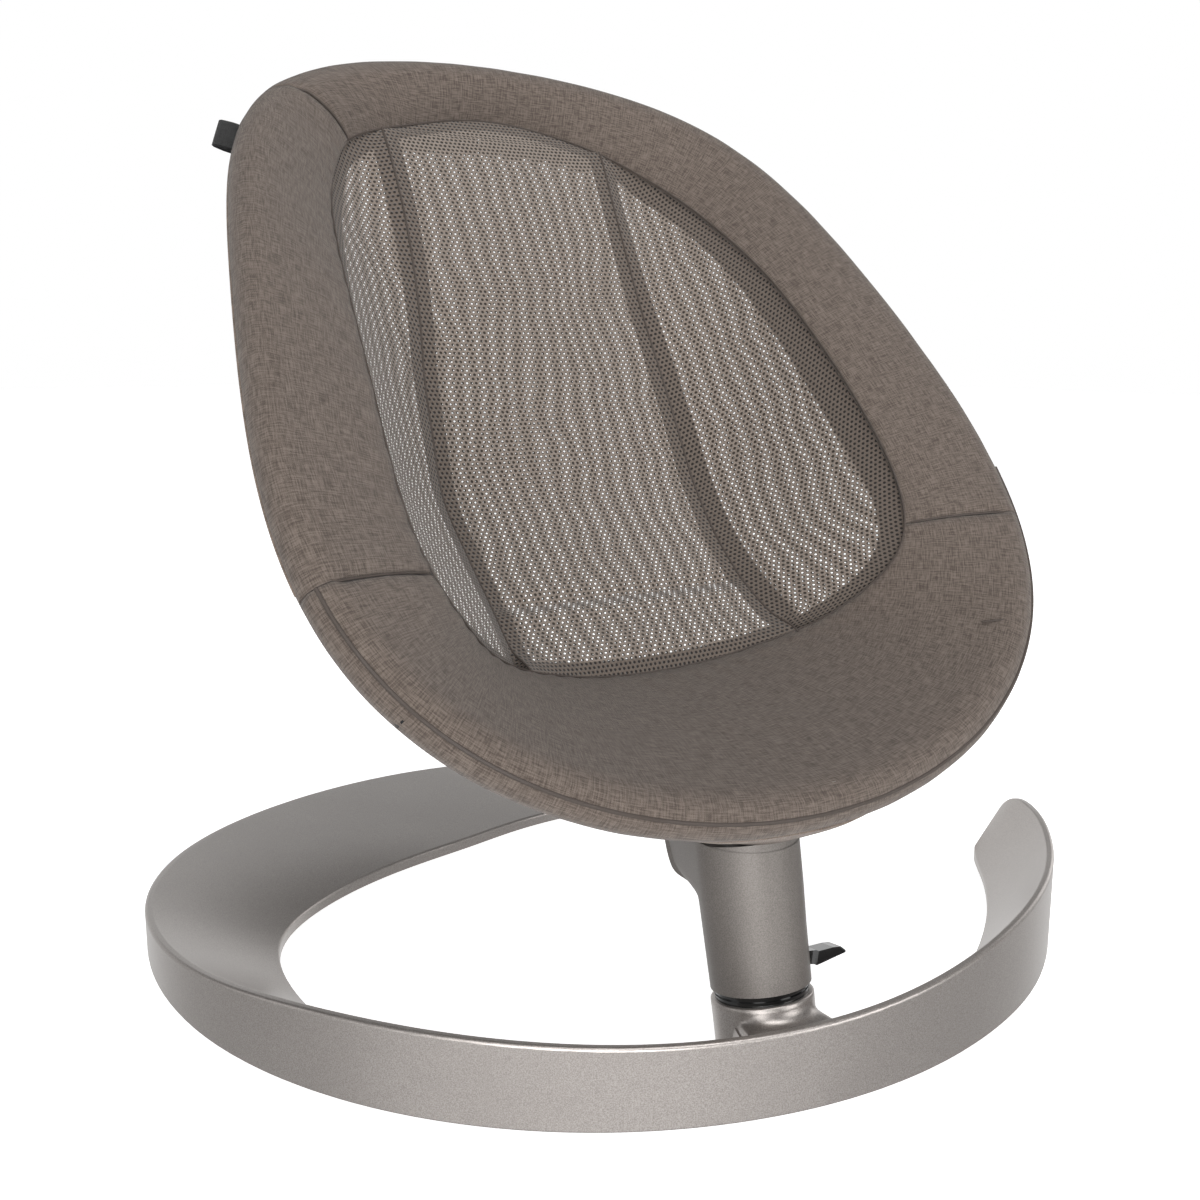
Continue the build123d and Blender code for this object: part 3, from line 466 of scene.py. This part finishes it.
def cast_metal(name, dark, light, metallic=0.85, low=0.30, high=0.42):
    """Satin pewter lacquer with a fine metallic grain."""
    sh = Shader(name)
    place = sh.place()
    grain = sh.noise(place, 1500.0, 2.0, 0.7)
    broad = sh.noise(place, 14.0, 3.0)
    colour = sh.mix(sh.ramp(grain, 0.3, 0.7), dark, light)
    colour = sh.mix(sh.ramp(broad, 0.3, 0.7, 0.0, 0.2), colour, dark)
    rough = sh.ramp(grain, 0.25, 0.75, low, high)
    sh.set(Base_Color=colour, Metallic=metallic, Roughness=rough, Normal=sh.bump(grain, 0.00012, 0.35),
           Coat_Weight=0.25, Coat_Roughness=0.25)
    return sh.material


def plain(name, colour, roughness, metallic=0.0, grain_scale=900.0, grain=0.0001, coat=0.0):
    """Moulded, machined or rubber surface with a fine grain and slightly uneven gloss."""
    sh = Shader(name)
    place = sh.place()
    fine = sh.noise(place, grain_scale, 2.0, 0.6)
    broad = sh.noise(place, 25.0, 2.0)
    shade = tuple(c * 0.72 for c in colour[:3]) + (1.0,)
    base = sh.mix(sh.ramp(fine, 0.3, 0.7, 0.0, 0.5), colour, shade)
    rough = sh.ramp(broad, 0.3, 0.7, roughness * 0.85, roughness * 1.15)
    sh.set(Base_Color=base, Metallic=metallic, Roughness=rough, Normal=sh.bump(fine, grain, 0.5),
           Coat_Weight=coat, Coat_Roughness=0.08)
    return sh.material


FABRIC = woven("cover_weave", rgb("3b332e"), rgb("524842"), rgb("625952"))
FABRIC_UNDER = woven("under_weave", rgb("4d443e"), rgb("675c54"), rgb("796d64"))
MESH = netting("sling_mesh", rgb("756b63"), rgb("272019"))
METAL = cast_metal("cast_metal", rgb("928c88"), rgb("b5afab"))
# Darker, less metallic copy of the cast metal for the column: its darker colour is painted shade from the
# seat above.
METAL_PAINTED_SHADE = cast_metal("cast_metal_column_painted_shade", rgb("5f5a56"), rgb("797470"), 0.55, 0.50, 0.62)
STEEL = plain("turned_steel", rgb("b5b5b6"), 0.28, 1.0, 1200.0)
BLACK = plain("gloss_black", rgb("0d0d0e"), 0.16, 0.0, 700.0, 0.00005, 0.6)
BUSH = plain("bush_plastic", rgb("d8d4c8"), 0.45)
RUBBER = plain("rubber", rgb("1b1b1b"), 0.75, 0.0, 600.0, 0.0002)
HOOP = plain("hoop_tube", rgb("a9a9ab"), 0.35, 1.0, 1000.0)
TAPE = woven("label_tape", rgb("080808"), rgb("111111"), rgb("1c1c1c"), 0.0006)
ZIP = woven("zip_fabric", rgb("2b2622"), rgb("3c3530"), rgb("4a423b"), 0.0007)
ZIP_METAL = plain("zip_metal", rgb("4a443f"), 0.35, 0.8)
THREAD = plain("sewing_thread", rgb("3a322d"), 0.8, 0.0, 2500.0, 0.0002)

SLOT_MATERIALS = {"cast_metal": METAL, "steel": STEEL, "black_plastic": BLACK, "bush_plastic": BUSH,
                  "rubber": RUBBER, "hoop_tube": HOOP, "cover_fabric": FABRIC, "mesh_fabric": MESH,
                  "label_tape": TAPE, "zip_fabric": ZIP, "zip_metal": ZIP_METAL}
for entry in frame["record"]["subparts"]:
    node = NODES[entry["node"]]
    node.data.materials.clear()
    node.data.materials.append(SLOT_MATERIALS[entry["material_slot"]])
# The column gets the darker copy of the metal, which is painted shade.
NODES["column"].data.materials[0] = METAL_PAINTED_SHADE


# ------------------------------------------------------------------ padded cover
FACE_STEPS = 16
FACE_FIRST = 9                  # place in a section of the padded face's first point
FACE_LAST = FACE_FIRST + FACE_STEPS
MEASURED = 14                   # the length of the cloth is measured along this point of the sections
BORDER_REACH = 0.05             # the upper left seam has turned to its far side this far in from the tube


def border_section(angle):
    """Section of the border: from under the tube, round it, over the pad to the mesh and back below."""
    width, depth = border_at(angle)
    points = [(0.030, 0.0140), (0.022, 0.0140)]
    points += [(TUBE_INSET - WRAP * sin(radians(a)), WRAP * cos(radians(a)))
               for a in (4, 34, 64, 94, 122, 150, 178)]
    start = (0.0200, -0.0115)
    run_x, run_d = width - start[0], depth - start[1]
    length = sqrt(run_x * run_x + run_d * run_d)
    out_x, out_d = run_d / length, -run_x / length
    for i in range(FACE_STEPS + 1):
        t = i / FACE_STEPS
        crown = 0.0026 * sin(pi * t) ** 0.8 if 0 < t < 1 else 0.0
        points.append((start[0] + run_x * t + out_x * crown, start[1] + run_d * t + out_d * crown))
    points.append((width + 0.0004, depth + 0.0016))
    points.append((width - 0.0010, depth + 0.0040))
    low, back = (width - 0.002, depth + 0.0055), (0.032, 0.0150)
    for i in range(1, 6):
        t = i / 6
        points.append((low[0] + (back[0] - low[0]) * t, low[1] + (back[1] - low[1]) * t))
    return points


def seam_turn(angle, aslant, inset):
    """Outline angle at an inset along a seam that crosses the border aslant."""
    share = min(max((inset - TUBE_INSET) / BORDER_REACH, -0.3), 1.0)
    return angle + aslant * (1 - 2 * share)


def make_cover(name, first, last, step=0.8):
    """One padded panel of the border between two outline angles, pinched in at its seams."""
    count = int(round((last - first) / step)) + 1
    rows = []
    for i in range(count):
        angle = first + (last - first) * i / (count - 1)
        aslant = SEAM_ASLANT * bell(angle, 360 - HEAD_SEAM, 14)
        pinch = 0.0022 * bell(min(angle - first, last - angle), 0, 0.9)
        row = []
        for k, (inset, depth) in enumerate(border_section(angle)):
            turn = seam_turn(angle, aslant, inset)
            p = cover_point(turn, inset, depth)
            ruck = 0.0007 * noise.noise(p * 16) + 0.0005 * noise.noise(p * 45)
            if FACE_FIRST <= k <= FACE_LAST:
                hold = ((k - FACE_FIRST) / FACE_STEPS) ** 6
                ruck += 0.0006 * hold * sin(radians(angle) * 70 + 3 * noise.noise(p * 20))
                p += (cover_point(turn, inset, depth - 0.01) - p).normalized() * (ruck - pinch)
            else:
                centre = cover_point(turn, min(max(inset, TUBE_INSET), 0.2), depth * 0.5)
                p += (p - centre).normalized() * ruck * 0.5
            row.append(p)
        rows.append(row)
    runs = running([row[MEASURED] for row in rows])
    across = [running(row + [row[0]]) for row in rows]
    obj = grid(name, rows, FABRIC, lambda i, j: (across[i][j], runs[i]), close_across=True)
    cap_ends(obj, len(rows[0]), count)
    return obj


def cap_ends(obj, width, count):
    """Closes both ends of a tube-like grid."""
    work = bmesh.new()
    work.from_mesh(obj.data)
    work.verts.ensure_lookup_table()
    work.faces.new([work.verts[j] for j in range(width)][::-1])
    work.faces.new([work.verts[(count - 1) * width + j] for j in range(width)])
    bmesh.ops.recalc_face_normals(work, faces=work.faces)
    work.to_mesh(obj.data)
    work.free()


# Each panel stops a few hundredths of a degree short of its seams.
for name, node, first, last in (
        ("cover_head_right_pad", "cover_head_right", WAIST + 0.08, 360 - HEAD_SEAM - 0.06),
        ("cover_left_pad", "cover_left", 360 - HEAD_SEAM + 0.06, 360 - WAIST - 0.08),
        ("cover_foot_pad", "cover_foot", -WAIST + 0.04, WAIST - 0.04)):
    pad = make_cover(name, first, last)
    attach(pad, "seat")
    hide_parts(node)


# ------------------------------------------------------------------ mesh sling
PANEL_DROP = 0.0012             # the panels lie this much below the sling's surface, under their seams
NARROWEST = 0.0015              # a side strip ends where it is narrower than this


def sling_point(x, s, drop):
    """Point at width x and run s, at a distance below the sling's surface."""
    return seat_point(x, s, sling_depth(x, s) + drop)


def make_panel(name, side):
    """Panel of the sling: side 0 is the middle, -1 and 1 the left and right strips."""
    angles = np.concatenate([np.linspace(0.5, 60, 60), np.linspace(61, 179.5, 150)])
    rows, lines = [], []
    steps = 40 if side == 0 else 24
    for angle in angles:
        s = float(np.interp(angle, range(181), EDGES[side or 1][0]))
        reach_left, reach_right = (float(np.interp(s, EDGES[k][0], EDGES[k][1])) for k in (-1, 1))
        seam = smooth(SEAMS, s / LENGTH)[0]
        if side == 0:
            xs_all = np.linspace(-min(seam, reach_left), min(seam, reach_right), steps + 1)
        else:
            xe = reach_left if side < 0 else reach_right
            if xe - seam < NARROWEST:
                continue
            xs_all = np.linspace(seam, xe, steps + 1) * side
        rows.append([sling_point(float(x), s, PANEL_DROP) for x in xs_all])
        lines.append([(float(x), s, seam) for x in xs_all])
    runs = running([row[len(row) // 2] for row in rows])
    across = [running(row) for row in rows]
    total = [a[-1] for a in across]

    def place(i, j):
        from_middle = across[i][j] - total[i] / 2
        return (from_middle if side == 0 else across[i][j] * side), runs[i]

    rims = {k: np.stack([EDGES[k][1], EDGES[k][0]], axis=1) for k in (-1, 1)}

    def edge(i, j):
        x, s, seam = lines[i][j]
        gap = np.sqrt(((rims[-1 if x < 0 else 1] - (abs(x), s)) ** 2).sum(1)).min()
        return abs(abs(x) - seam), float(gap)

    return grid(name, rows, MESH, place, edge)


def sheet_size(obj):
    """Flat width, length and area of a panel, from its own surface."""
    area = sum(p.area for p in obj.data.polygons)
    uv = np.zeros(len(obj.data.loops) * 2, np.float32)
    obj.data.uv_layers["cloth"].data.foreach_get("uv", uv)
    uv = uv.reshape(-1, 2)
    size = uv.max(0) - uv.min(0)
    return float(size[0]), float(size[1]), float(area)


for name, node, side in (("mesh_centre_net", "mesh_centre", 0),
                         ("mesh_side_left_net", "mesh_side_left", -1),
                         ("mesh_side_right_net", "mesh_side_right", 1)):
    net = make_panel(name, side)
    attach(net, "seat")
    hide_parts(node)
    wide, long, area = sheet_size(net)
    min(area, wide * long)


# ------------------------------------------------------------------ under cover
def bezier(a, b, c, d, t):
    """Point at t on a cubic curve from a to d."""
    return a * (1 - t) ** 3 + b * 3 * t * (1 - t) ** 2 + c * 3 * t * t * (1 - t) + d * t ** 3


COLLAR_LOW, COLLAR_HIGH = 0.1405, 0.1470            # heights where the cloth meets the column, and just above


def make_under_cover():
    """Cloth from the lower side of the hoop in to the top of the column."""
    rows = []
    for angle in np.linspace(-72, 72, 131):
        belly = bell(angle, 0, 20)
        start = cover_point(angle, 0.0065 - 0.0055 * belly, 0.0112 - 0.0060 * belly)
        ahead = (cover_point(angle, 0.020, 0.0165) - start).lerp(
            cover_point(angle, 0.001, 0.030) - start, belly)
        turn = radians(-90 + angle * 1.02)
        low = Vector((0.036 * cos(turn), 0.024 + 0.040 * sin(turn), COLLAR_LOW))
        high = Vector((0.046 * cos(turn), 0.022 + 0.052 * sin(turn), COLLAR_HIGH))
        span = (low - start).length
        down = ahead.normalized() * (0.35 + 3.0 * belly) + (low - start).normalized()
        down += Vector((0, 0, -0.25))
        near_start = start + down.normalized() * span * (0.25 + 0.10 * belly)
        near_low = high + (high - low).normalized() * span * 0.18
        rows.append([bezier(start, near_start, near_low, low, t) for t in np.linspace(0, 1, 34)])
    uv = cloth_uv(rows)
    for row in rows:
        for k, p in enumerate(row):
            row[k] = p + Vector((0, 0, 1)) * 0.0012 * noise.noise(p * 25)
    return thicken(grid("under_cover_cloth", rows, FABRIC_UNDER, uv), 0.0016)


under = make_under_cover()
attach(under, "seat")
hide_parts("under_cover")

piping_line = [cover_point(a, 0.0052, -0.0101) for a in np.linspace(-WAIST, 72, 190)]
piping = tube("foot_piping_cord", piping_line, 0.0011, THREAD)
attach(piping, "seat")
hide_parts("foot_piping")

dart_line = [cover_point(46 - 5 * t, 0.0060 + 0.030 * t, -0.0108 + 0.0075 * t * t)
             for t in np.linspace(0, 1, 16)]
dart = tube("foot_dart_seam", dart_line, 0.0006, THREAD)
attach(dart, "seat")


# ------------------------------------------------------------------ rear skirt
def make_skirt(name, first, last):
    """Band of cloth from the hoop in behind the border, gathered towards its free hem."""
    rows = []
    count = int(last - first) + 1
    for i in range(count):
        angle = first + (last - first) * i / (count - 1)
        row = []
        for k in range(13):
            t = k / 12
            waver = 2.0 * noise.noise(Vector((angle * 0.11, t, 2)))
            gather = 0.0022 * t * t * sin(radians(angle) * 95 + waver)
            inset = 0.0005 + 0.0445 * t ** 0.9
            depth = 0.0035 + 0.0305 * sin(pi / 2 * t) ** 0.8 + gather
            row.append(cover_point(angle, inset, depth))
        rows.append(row)
    return thicken(grid(name, rows, FABRIC_UNDER, cloth_uv(rows)), 0.0012)


for name, node, first, last in (("rear_skirt_right_cloth", "rear_skirt_right", WAIST + 1, 179.8),
                                ("rear_skirt_left_cloth", "rear_skirt_left", 180.2, 359 - WAIST)):
    skirt = make_skirt(name, first, last)
    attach(skirt, "seat")
    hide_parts(node)


# ------------------------------------------------------------------ seam lines
def seam_line(name, points, radius=0.0006, closed=False):
    """Dark line of stitches pressed into the cloth."""
    line = tube(name, points, radius, THREAD, sides=8, closed=closed)
    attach(line, "seat")


rim_line = []
for turn in np.linspace(0, 360, 480, endpoint=False):
    width, depth = border_at(turn)
    rim_line.append(cover_point(turn, width + 0.0007, depth + 0.0006))
seam_line("mesh_edge_seam", rim_line, closed=True)

foot_run, head_run = float(EDGES[1][0][0]), float(EDGES[1][0][-1])
for side, word in ((-1, "left"), (1, "right")):
    line = []
    for s in np.linspace(foot_run + 0.002, head_run - 0.001, 300):
        xs = smooth(SEAMS, s / LENGTH)[0]
        if float(np.interp(s, EDGES[side][0], EDGES[side][1])) > xs + 0.001:
            line.append(sling_point(side * xs, float(s), 0.0010))
    seam_line(f"panel_seam_{word}", line, 0.0007)

for word, angle, aslant in (("waist_right", WAIST, 0.0), ("waist_left", -WAIST, 0.0),
                            ("head", 360 - HEAD_SEAM, SEAM_ASLANT)):
    # from part way round the tube to just short of the mesh
    line = [cover_point(seam_turn(angle, aslant, inset), inset, depth + 0.0014)
            for inset, depth in border_section(angle)[5:FACE_LAST]]
    seam_line(f"{word}_seam", line)


# ------------------------------------------------------------------ label and zip
def make_label_loop():
    """Blank woven loop: a tape folded over at its outer end, sewn into the edge seam."""
    angle = 360 - LABEL_ANGLE
    root = cover_point(angle, 0.0022, 0)
    out = (cover_point(angle, -LABEL_LENGTH, 0) - root).normalized()
    along = (cover_point(angle + 2, 0.0022, 0) - root).normalized()
    face = out.cross(along).normalized()
    section = [(-0.004 + (LABEL_LENGTH + 0.003) * t, 0.0005 + 0.0007 * sin(pi * t))
               for t in np.linspace(0, 1, 9)]
    section += [(LABEL_LENGTH + 0.0002, 0.0)]
    section += [(x, -y) for x, y in section[-2::-1]]
    rows = []
    for t in np.linspace(-0.5, 0.5, 21):
        sag = 0.0006 * sin(pi * (t + 0.5))
        rows.append([root + along * (t * LABEL_WIDTH) + out * x + face * (y + sag * x / LABEL_LENGTH)
                     for x, y in section])
    return thicken(grid("label_loop", rows, TAPE, cloth_uv(rows)), 0.0005)


label = make_label_loop()
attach(label, "seat")
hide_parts("blank_label")


ZIP_FIRST, ZIP_LAST = 152.5, 207.5                  # outline angles of the zip's ends
ZIP_GAP = 0.0004                # the zip is raised by this much


def zip_face(angle):
    """Direction out of the rear skirt at the zip."""
    return (cover_point(angle, 0.025, 0.030) - cover_point(angle, 0.025, 0.020)).normalized()


def zip_rows(low, high, rise, steps):
    """Rows of points across the zip, from its low to its high share, raised above the tape."""
    rows = []
    for angle in np.linspace(ZIP_FIRST, ZIP_LAST, steps):
        outer, inner = cover_point(angle, 0.019, 0.0225), cover_point(angle, 0.031, 0.0290)
        rows.append([outer.lerp(inner, t) + zip_face(angle) * (rise + ZIP_GAP)
                     for t in np.linspace(low, high, 7)])
    return rows


def make_zip():
    """Woven tape of the zip, and the closed ridge of its teeth."""
    rows = zip_rows(0.0, 1.0, 0.0, 120)
    tape = thicken(grid("zip_tape_cloth", rows, ZIP, cloth_uv(rows)), 0.0009)
    spine = zip_rows(0.38, 0.62, 0.0012, 460)
    out = zip_face(180)
    for k, row in enumerate(spine):
        lift = 0.0006 * (1 + sin(k * pi / 2)) / 2
        for j, p in enumerate(row):
            row[j] = p + out * lift
    runs = running([row[3] for row in spine])
    ridge = grid("zip_teeth_ridge", spine, ZIP_METAL, lambda i, j: (j * 0.001, runs[i]))
    return tape, thicken(ridge, 0.0010, offset=-1)


zip_cloth, zip_ridge = make_zip()
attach(zip_cloth, "seat")
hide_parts("zip_tape")
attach(zip_ridge, "seat")


# ------------------------------------------------------------------ cast blends on base and column
LEAN = radians(12.0)
GAP_Z = 0.044                   # height of the swivel gap on the column's axis
WALL_TURN = radians(-102.0)     # direction from the ring's centre to the column
RING_CENTRE = (0.056, 0.266)
RIM_RADIUS = 0.3312             # just inside the wall's inner top edge
SKIN_BOTTOM, SKIN_TOP = 0.066, 0.1335               # heights of the column skin's ends
COLUMN_FOOT_RADIUS = 0.0297     # 3 mm above the gap
COLUMN_GROWTH = 0.0018 / 0.087  # of the radius, along the axis
GUSSET_HALF, GUSSET_ROUND = 0.0193, 0.007           # half width of the gusset and radius of its corners
# Gusset stations: height, and distance of its rear face behind the origin.
GUSSET = [(0.066, 0.0300), (0.078, 0.0300), (0.083, 0.0340), (0.086, 0.0346), (0.091, 0.0370),
          (0.0949, 0.0413), (0.0970, 0.0470), (0.0985, 0.0550), (0.1005, 0.0625), (0.1045, 0.0670),
          (0.115, 0.0715), (0.127, 0.0790), (0.134, 0.0800)]


def hull(points):
    """Convex outline of plane points, anticlockwise."""
    points = sorted(set(points))

    def half(chain):
        out = []
        for p in chain:
            while len(out) > 1 and ((out[-1][0] - out[-2][0]) * (p[1] - out[-2][1])
                                    <= (out[-1][1] - out[-2][1]) * (p[0] - out[-2][0])):
                out.pop()
            out.append(p)
        return out[:-1]

    return half(points) + half(points[::-1])


def reach(outline_points, centre, direction):
    """Distance from an inner point to a convex outline along a direction."""
    best = 0.0
    for a, b in zip(outline_points, outline_points[1:] + outline_points[:1]):
        ex, ey = b[0] - a[0], b[1] - a[1]
        fx, fy = a[0] - centre[0], a[1] - centre[1]
        cross = direction[0] * ey - direction[1] * ex
        if abs(cross) < 1e-12:
            continue
        far = (fx * ey - fy * ex) / cross
        share = (fx * direction[1] - fy * direction[0]) / cross
        if far > 0 and -1e-6 <= share <= 1 + 1e-6:
            best = max(best, far)
    return best


def ray_round(shape, centre, steps, height):
    """Points at a height where rays from a centre, evenly turned, meet a convex outline."""
    points = []
    for a in np.linspace(0, 2 * pi, steps, endpoint=False):
        way = (cos(a), sin(a))
        far = reach(shape, centre, way)
        points.append(Vector((centre[0] + way[0] * far, centre[1] + way[1] * far, height)))
    return points


def make_column_skin():
    """Cast skin that runs smoothly from the round column into its rear gusset."""
    rows = []
    heights, depths = zip(*GUSSET)
    for z in np.linspace(SKIN_BOTTOM, SKIN_TOP, 90):
        height = (z - GAP_Z) / cos(LEAN)
        radius = COLUMN_FOOT_RADIUS + (height - 0.003) * COLUMN_GROWTH
        radius += -0.00025 + 0.0006 * smoothstep(0.066, 0.115, z)
        middle = (z - GAP_Z) * sin(LEAN) / cos(LEAN)
        rear = float(np.interp(z, heights, depths)) + 0.0004 - GUSSET_ROUND
        aside = GUSSET_HALF - GUSSET_ROUND
        shape = [(radius * cos(a), middle + radius / cos(LEAN) * sin(a))
                 for a in np.linspace(0, 2 * pi, 96, endpoint=False)]
        shape += [(side * (aside + GUSSET_ROUND * cos(a)), rear + GUSSET_ROUND * sin(a))
                  for side in (-1, 1) for a in np.linspace(0, pi / 2, 9)]
        shape = hull([(round(x, 7), round(y, 7)) for x, y in shape])
        rows.append(ray_round(shape, (0.0, middle), 180, z))
    for _ in range(5):
        inner = [[(a + b * 2 + c) / 4 for a, b, c in zip(rows[i - 1], rows[i], rows[i + 1])]
                 for i in range(1, len(rows) - 1)]
        rows = [rows[0]] + inner + [rows[-1]]
    # The skin is in the column's darker metal, which is painted shade.
    return grid("column_gusset_skin", rows, METAL_PAINTED_SHADE, lambda i, j: (j * 0.001, i * 0.001),
                close_across=True)


skin = make_column_skin()
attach(skin, "column")


BOSS_RADIUS = 0.0304
BOSS_BOTTOM = 0.0022            # height of the skin's lower edge
WALL_REACH = 34.6               # the blend ends on the wall up to this angle to each side, in degrees
WEB_REACH = 58.9                # and on the web's curved edge up to this one
WALL_FOOT = 0.0410              # height where it ends on the wall
WEB_EDGE = ((0.0565, 0.0407), (0.044, 0.0270), (0.016, 0.0265))     # curve of the web's edge from the axis
BOSS_LIP = ((0.0285, -0.0029), (0.0297, -0.0030), (0.0303, -0.0037), (BOSS_RADIUS, -0.0060),
            (BOSS_RADIUS, -0.0085))                 # radius and place along the axis, from the gap down


def flank(theta):
    """Distance from the boss axis to the foot of its blend, and that foot's height, inside WEB_REACH."""
    turn = abs(theta)
    if turn <= WALL_REACH:
        way = (cos(WALL_TURN + radians(theta)), sin(WALL_TURN + radians(theta)))
        ahead = way[0] * RING_CENTRE[0] + way[1] * RING_CENTRE[1]
        outside = RING_CENTRE[0] ** 2 + RING_CENTRE[1] ** 2 - RIM_RADIUS ** 2
        return ahead + sqrt(ahead * ahead - outside), WALL_FOOT
    low, high = 0.0, 1.0
    for _ in range(30):
        t = (low + high) / 2
        p, q = (a * (1 - t) ** 2 + b * 2 * t * (1 - t) + c * t * t for a, b, c in zip(*WEB_EDGE))
        if atan2(q, p) < radians(turn):
            low = t
        else:
            high = t
    return sqrt(p * p + q * q), WALL_FOOT - 0.0060 * smoothstep(WALL_REACH, 44.0, turn)


def boss_slope(theta, way, axis, start):
    """Points of the boss skin below its lip, at an angle from the wall's direction."""
    if abs(theta) >= WEB_REACH:
        return [start - axis * (start.z - BOSS_BOTTOM) / axis.z * t for t in np.linspace(0, 1, 22)[1:]]
    far, height = flank(theta)
    end = Vector((way.x * far, way.y * far, height))
    span = far - BOSS_RADIUS
    below = start - axis * 0.007 * smoothstep(0.0, 0.012, span)
    near_end = end - way * span * 0.45 - Vector((0, 0, 0.004 if abs(theta) <= WALL_REACH else -0.001))
    slope = [bezier(start, below, near_end, end, t) for t in np.linspace(0, 1, 18)[1:]]
    flare = way * 0.004 * smoothstep(WALL_REACH, 44, abs(theta))
    return slope + [Vector((end.x, end.y, end.z + (BOSS_BOTTOM - end.z) * t)) + flare * t
                    for t in (0.08, 0.35, 0.7, 1.0)]


def make_boss_skin():
    """Cast skin of the boss: round at the gap, filleted into the web and the inside of the wall."""
    toward = Vector((cos(WALL_TURN), sin(WALL_TURN), 0))
    aside = Vector((-sin(WALL_TURN), cos(WALL_TURN), 0))
    axis = Vector((0, sin(LEAN), cos(LEAN)))
    centre = Vector((0, 0, GAP_Z))
    rows = []
    for theta in np.linspace(-180, 180, 180, endpoint=False):
        way = toward * cos(radians(theta)) + aside * sin(radians(theta))
        flat = (way - axis * way.dot(axis)).normalized()
        lip = [centre + axis * w + flat * r for r, w in BOSS_LIP]
        rows.append(lip + boss_slope(theta, way, axis, lip[-1]))
    count = len(rows)
    for _ in range(30):
        fresh = []
        for i, row in enumerate(rows):
            before, after = rows[i - 1], rows[(i + 1) % count]
            fresh.append([p if k < 4 or k == len(row) - 1 else
                          (p * 2 + before[k] + after[k] + row[k - 1] + row[k + 1]) / 6
                          for k, p in enumerate(row)])
        rows = fresh
    rows = [row[::-1] for row in rows]
    return grid("base_boss_skin", rows, METAL, lambda i, j: (i * 0.001, j * 0.001), close_along=True)


boss = make_boss_skin()
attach(boss, "base")


# ------------------------------------------------------------------ room, light and camera
def make_floor():
    """Pale studio floor, wide enough to fill the view."""
    paint = plain("studio_floor", (0.90, 0.90, 0.90, 1.0), 0.7, 0.0, 300.0, 0.00002)
    glow = paint.node_tree.nodes["Principled BSDF"]
    glow.inputs["Emission Color"].default_value = (1, 1, 1, 1)
    glow.inputs["Emission Strength"].default_value = 0.85
    rows = [[Vector((x, y, -0.0004)) for x in np.linspace(-7, 9, 17)] for y in np.linspace(-3, 12, 16)]
    obj = grid("studio_floor_sheet", rows, paint, lambda i, j: (i / 16, j / 17))
    obj.visible_glossy = False


make_floor()


def area_light(name, place, aim, size, power):
    """Soft rectangular light at a place, turned to an aim, with its power in watts."""
    data = bpy.data.lights.new(name, "AREA")
    data.shape = "RECTANGLE"
    data.size, data.size_y = size
    data.energy = power
    obj = bpy.data.objects.new(name, data)
    obj.location = place
    obj.rotation_euler = (Vector(aim) - Vector(place)).to_track_quat("-Z", "Y").to_euler()
    bpy.context.scene.collection.objects.link(obj)


area_light("front_left", (-2.3, -1.9, 1.5), (0, 0, 0.25), (1.5, 2.2), 36)
area_light("overhead", (-0.1, -0.7, 2.3), (0, 0.05, 0.2), (1.4, 1.4), 32)
area_light("front_low", (-1.5, -2.3, 0.45), (0, 0, 0.1), (1.8, 0.7), 42)
area_light("front_right", (1.2, -2.6, 1.0), (0, 0, 0.2), (1.3, 1.8), 32)
area_light("side_right", (2.6, 0.4, 1.1), (0, 0.1, 0.25), (1.2, 1.8), 8)
area_light("side_left", (-2.6, 1.2, 1.2), (0, 0.2, 0.25), (1.2, 1.8), 6)


BACK_AND_FRONT = (0.544, 0.839, 0.0)                # level, 33 degrees to the right of +Y


def make_world():
    """White in front and behind, dim overhead and to the sides, so that metal gets soft gradients."""
    world = bpy.data.worlds.new("studio")
    bpy.context.scene.world = world
    world.use_nodes = True
    tree = world.node_tree

    def fade(value, *bounds):
        """Smooth step of a value: from low and from high, to low and to high."""
        made = tree.nodes.new("ShaderNodeMapRange")
        made.interpolation_type = "SMOOTHSTEP"
        tree.links.new(value, made.inputs[0])
        for socket, bound in zip(made.inputs[1:5], bounds):
            socket.default_value = bound
        return made.outputs[0]

    def combine(operation, *values):
        made = tree.nodes.new("ShaderNodeMath")
        made.operation = operation
        for socket, value in zip(made.inputs, values):
            tree.links.new(value, socket)
        return made.outputs[0]

    direction = tree.nodes.new("ShaderNodeTexCoord").outputs["Generated"]
    split = tree.nodes.new("ShaderNodeSeparateXYZ")
    tree.links.new(direction, split.inputs[0])
    along = tree.nodes.new("ShaderNodeVectorMath")
    along.operation = "DOT_PRODUCT"
    along.inputs[1].default_value = BACK_AND_FRONT
    tree.links.new(direction, along.inputs[0])
    height = fade(split.outputs[2], 0.25, 0.42, 1.0, 0.28)
    sides = fade(combine("ABSOLUTE", along.outputs["Value"]), 0.25, 0.82, 0.40, 1.0)
    background = tree.nodes["Background"]
    background.inputs[0].default_value = (1, 1, 1, 1)
    tree.links.new(combine("MULTIPLY", height, sides), background.inputs[1])


make_world()

camera = bpy.data.objects.new("camera", bpy.data.cameras.new("camera"))
bpy.context.scene.collection.objects.link(camera)
camera.data.lens = 39.0
camera.data.sensor_width = 36.0
camera.data.clip_start = 0.01
camera.location = (-0.46246, -0.53932, 0.415)
heading, pitch = radians(32.96), radians(11.23)     # to the right of +Y, and downwards
ahead = Vector((sin(heading) * cos(pitch), cos(heading) * cos(pitch), -sin(pitch)))
camera.rotation_euler = ahead.to_track_quat("-Z", "Y").to_euler()
bpy.context.scene.camera = camera
bpy.context.scene.view_settings.view_transform = "Standard"
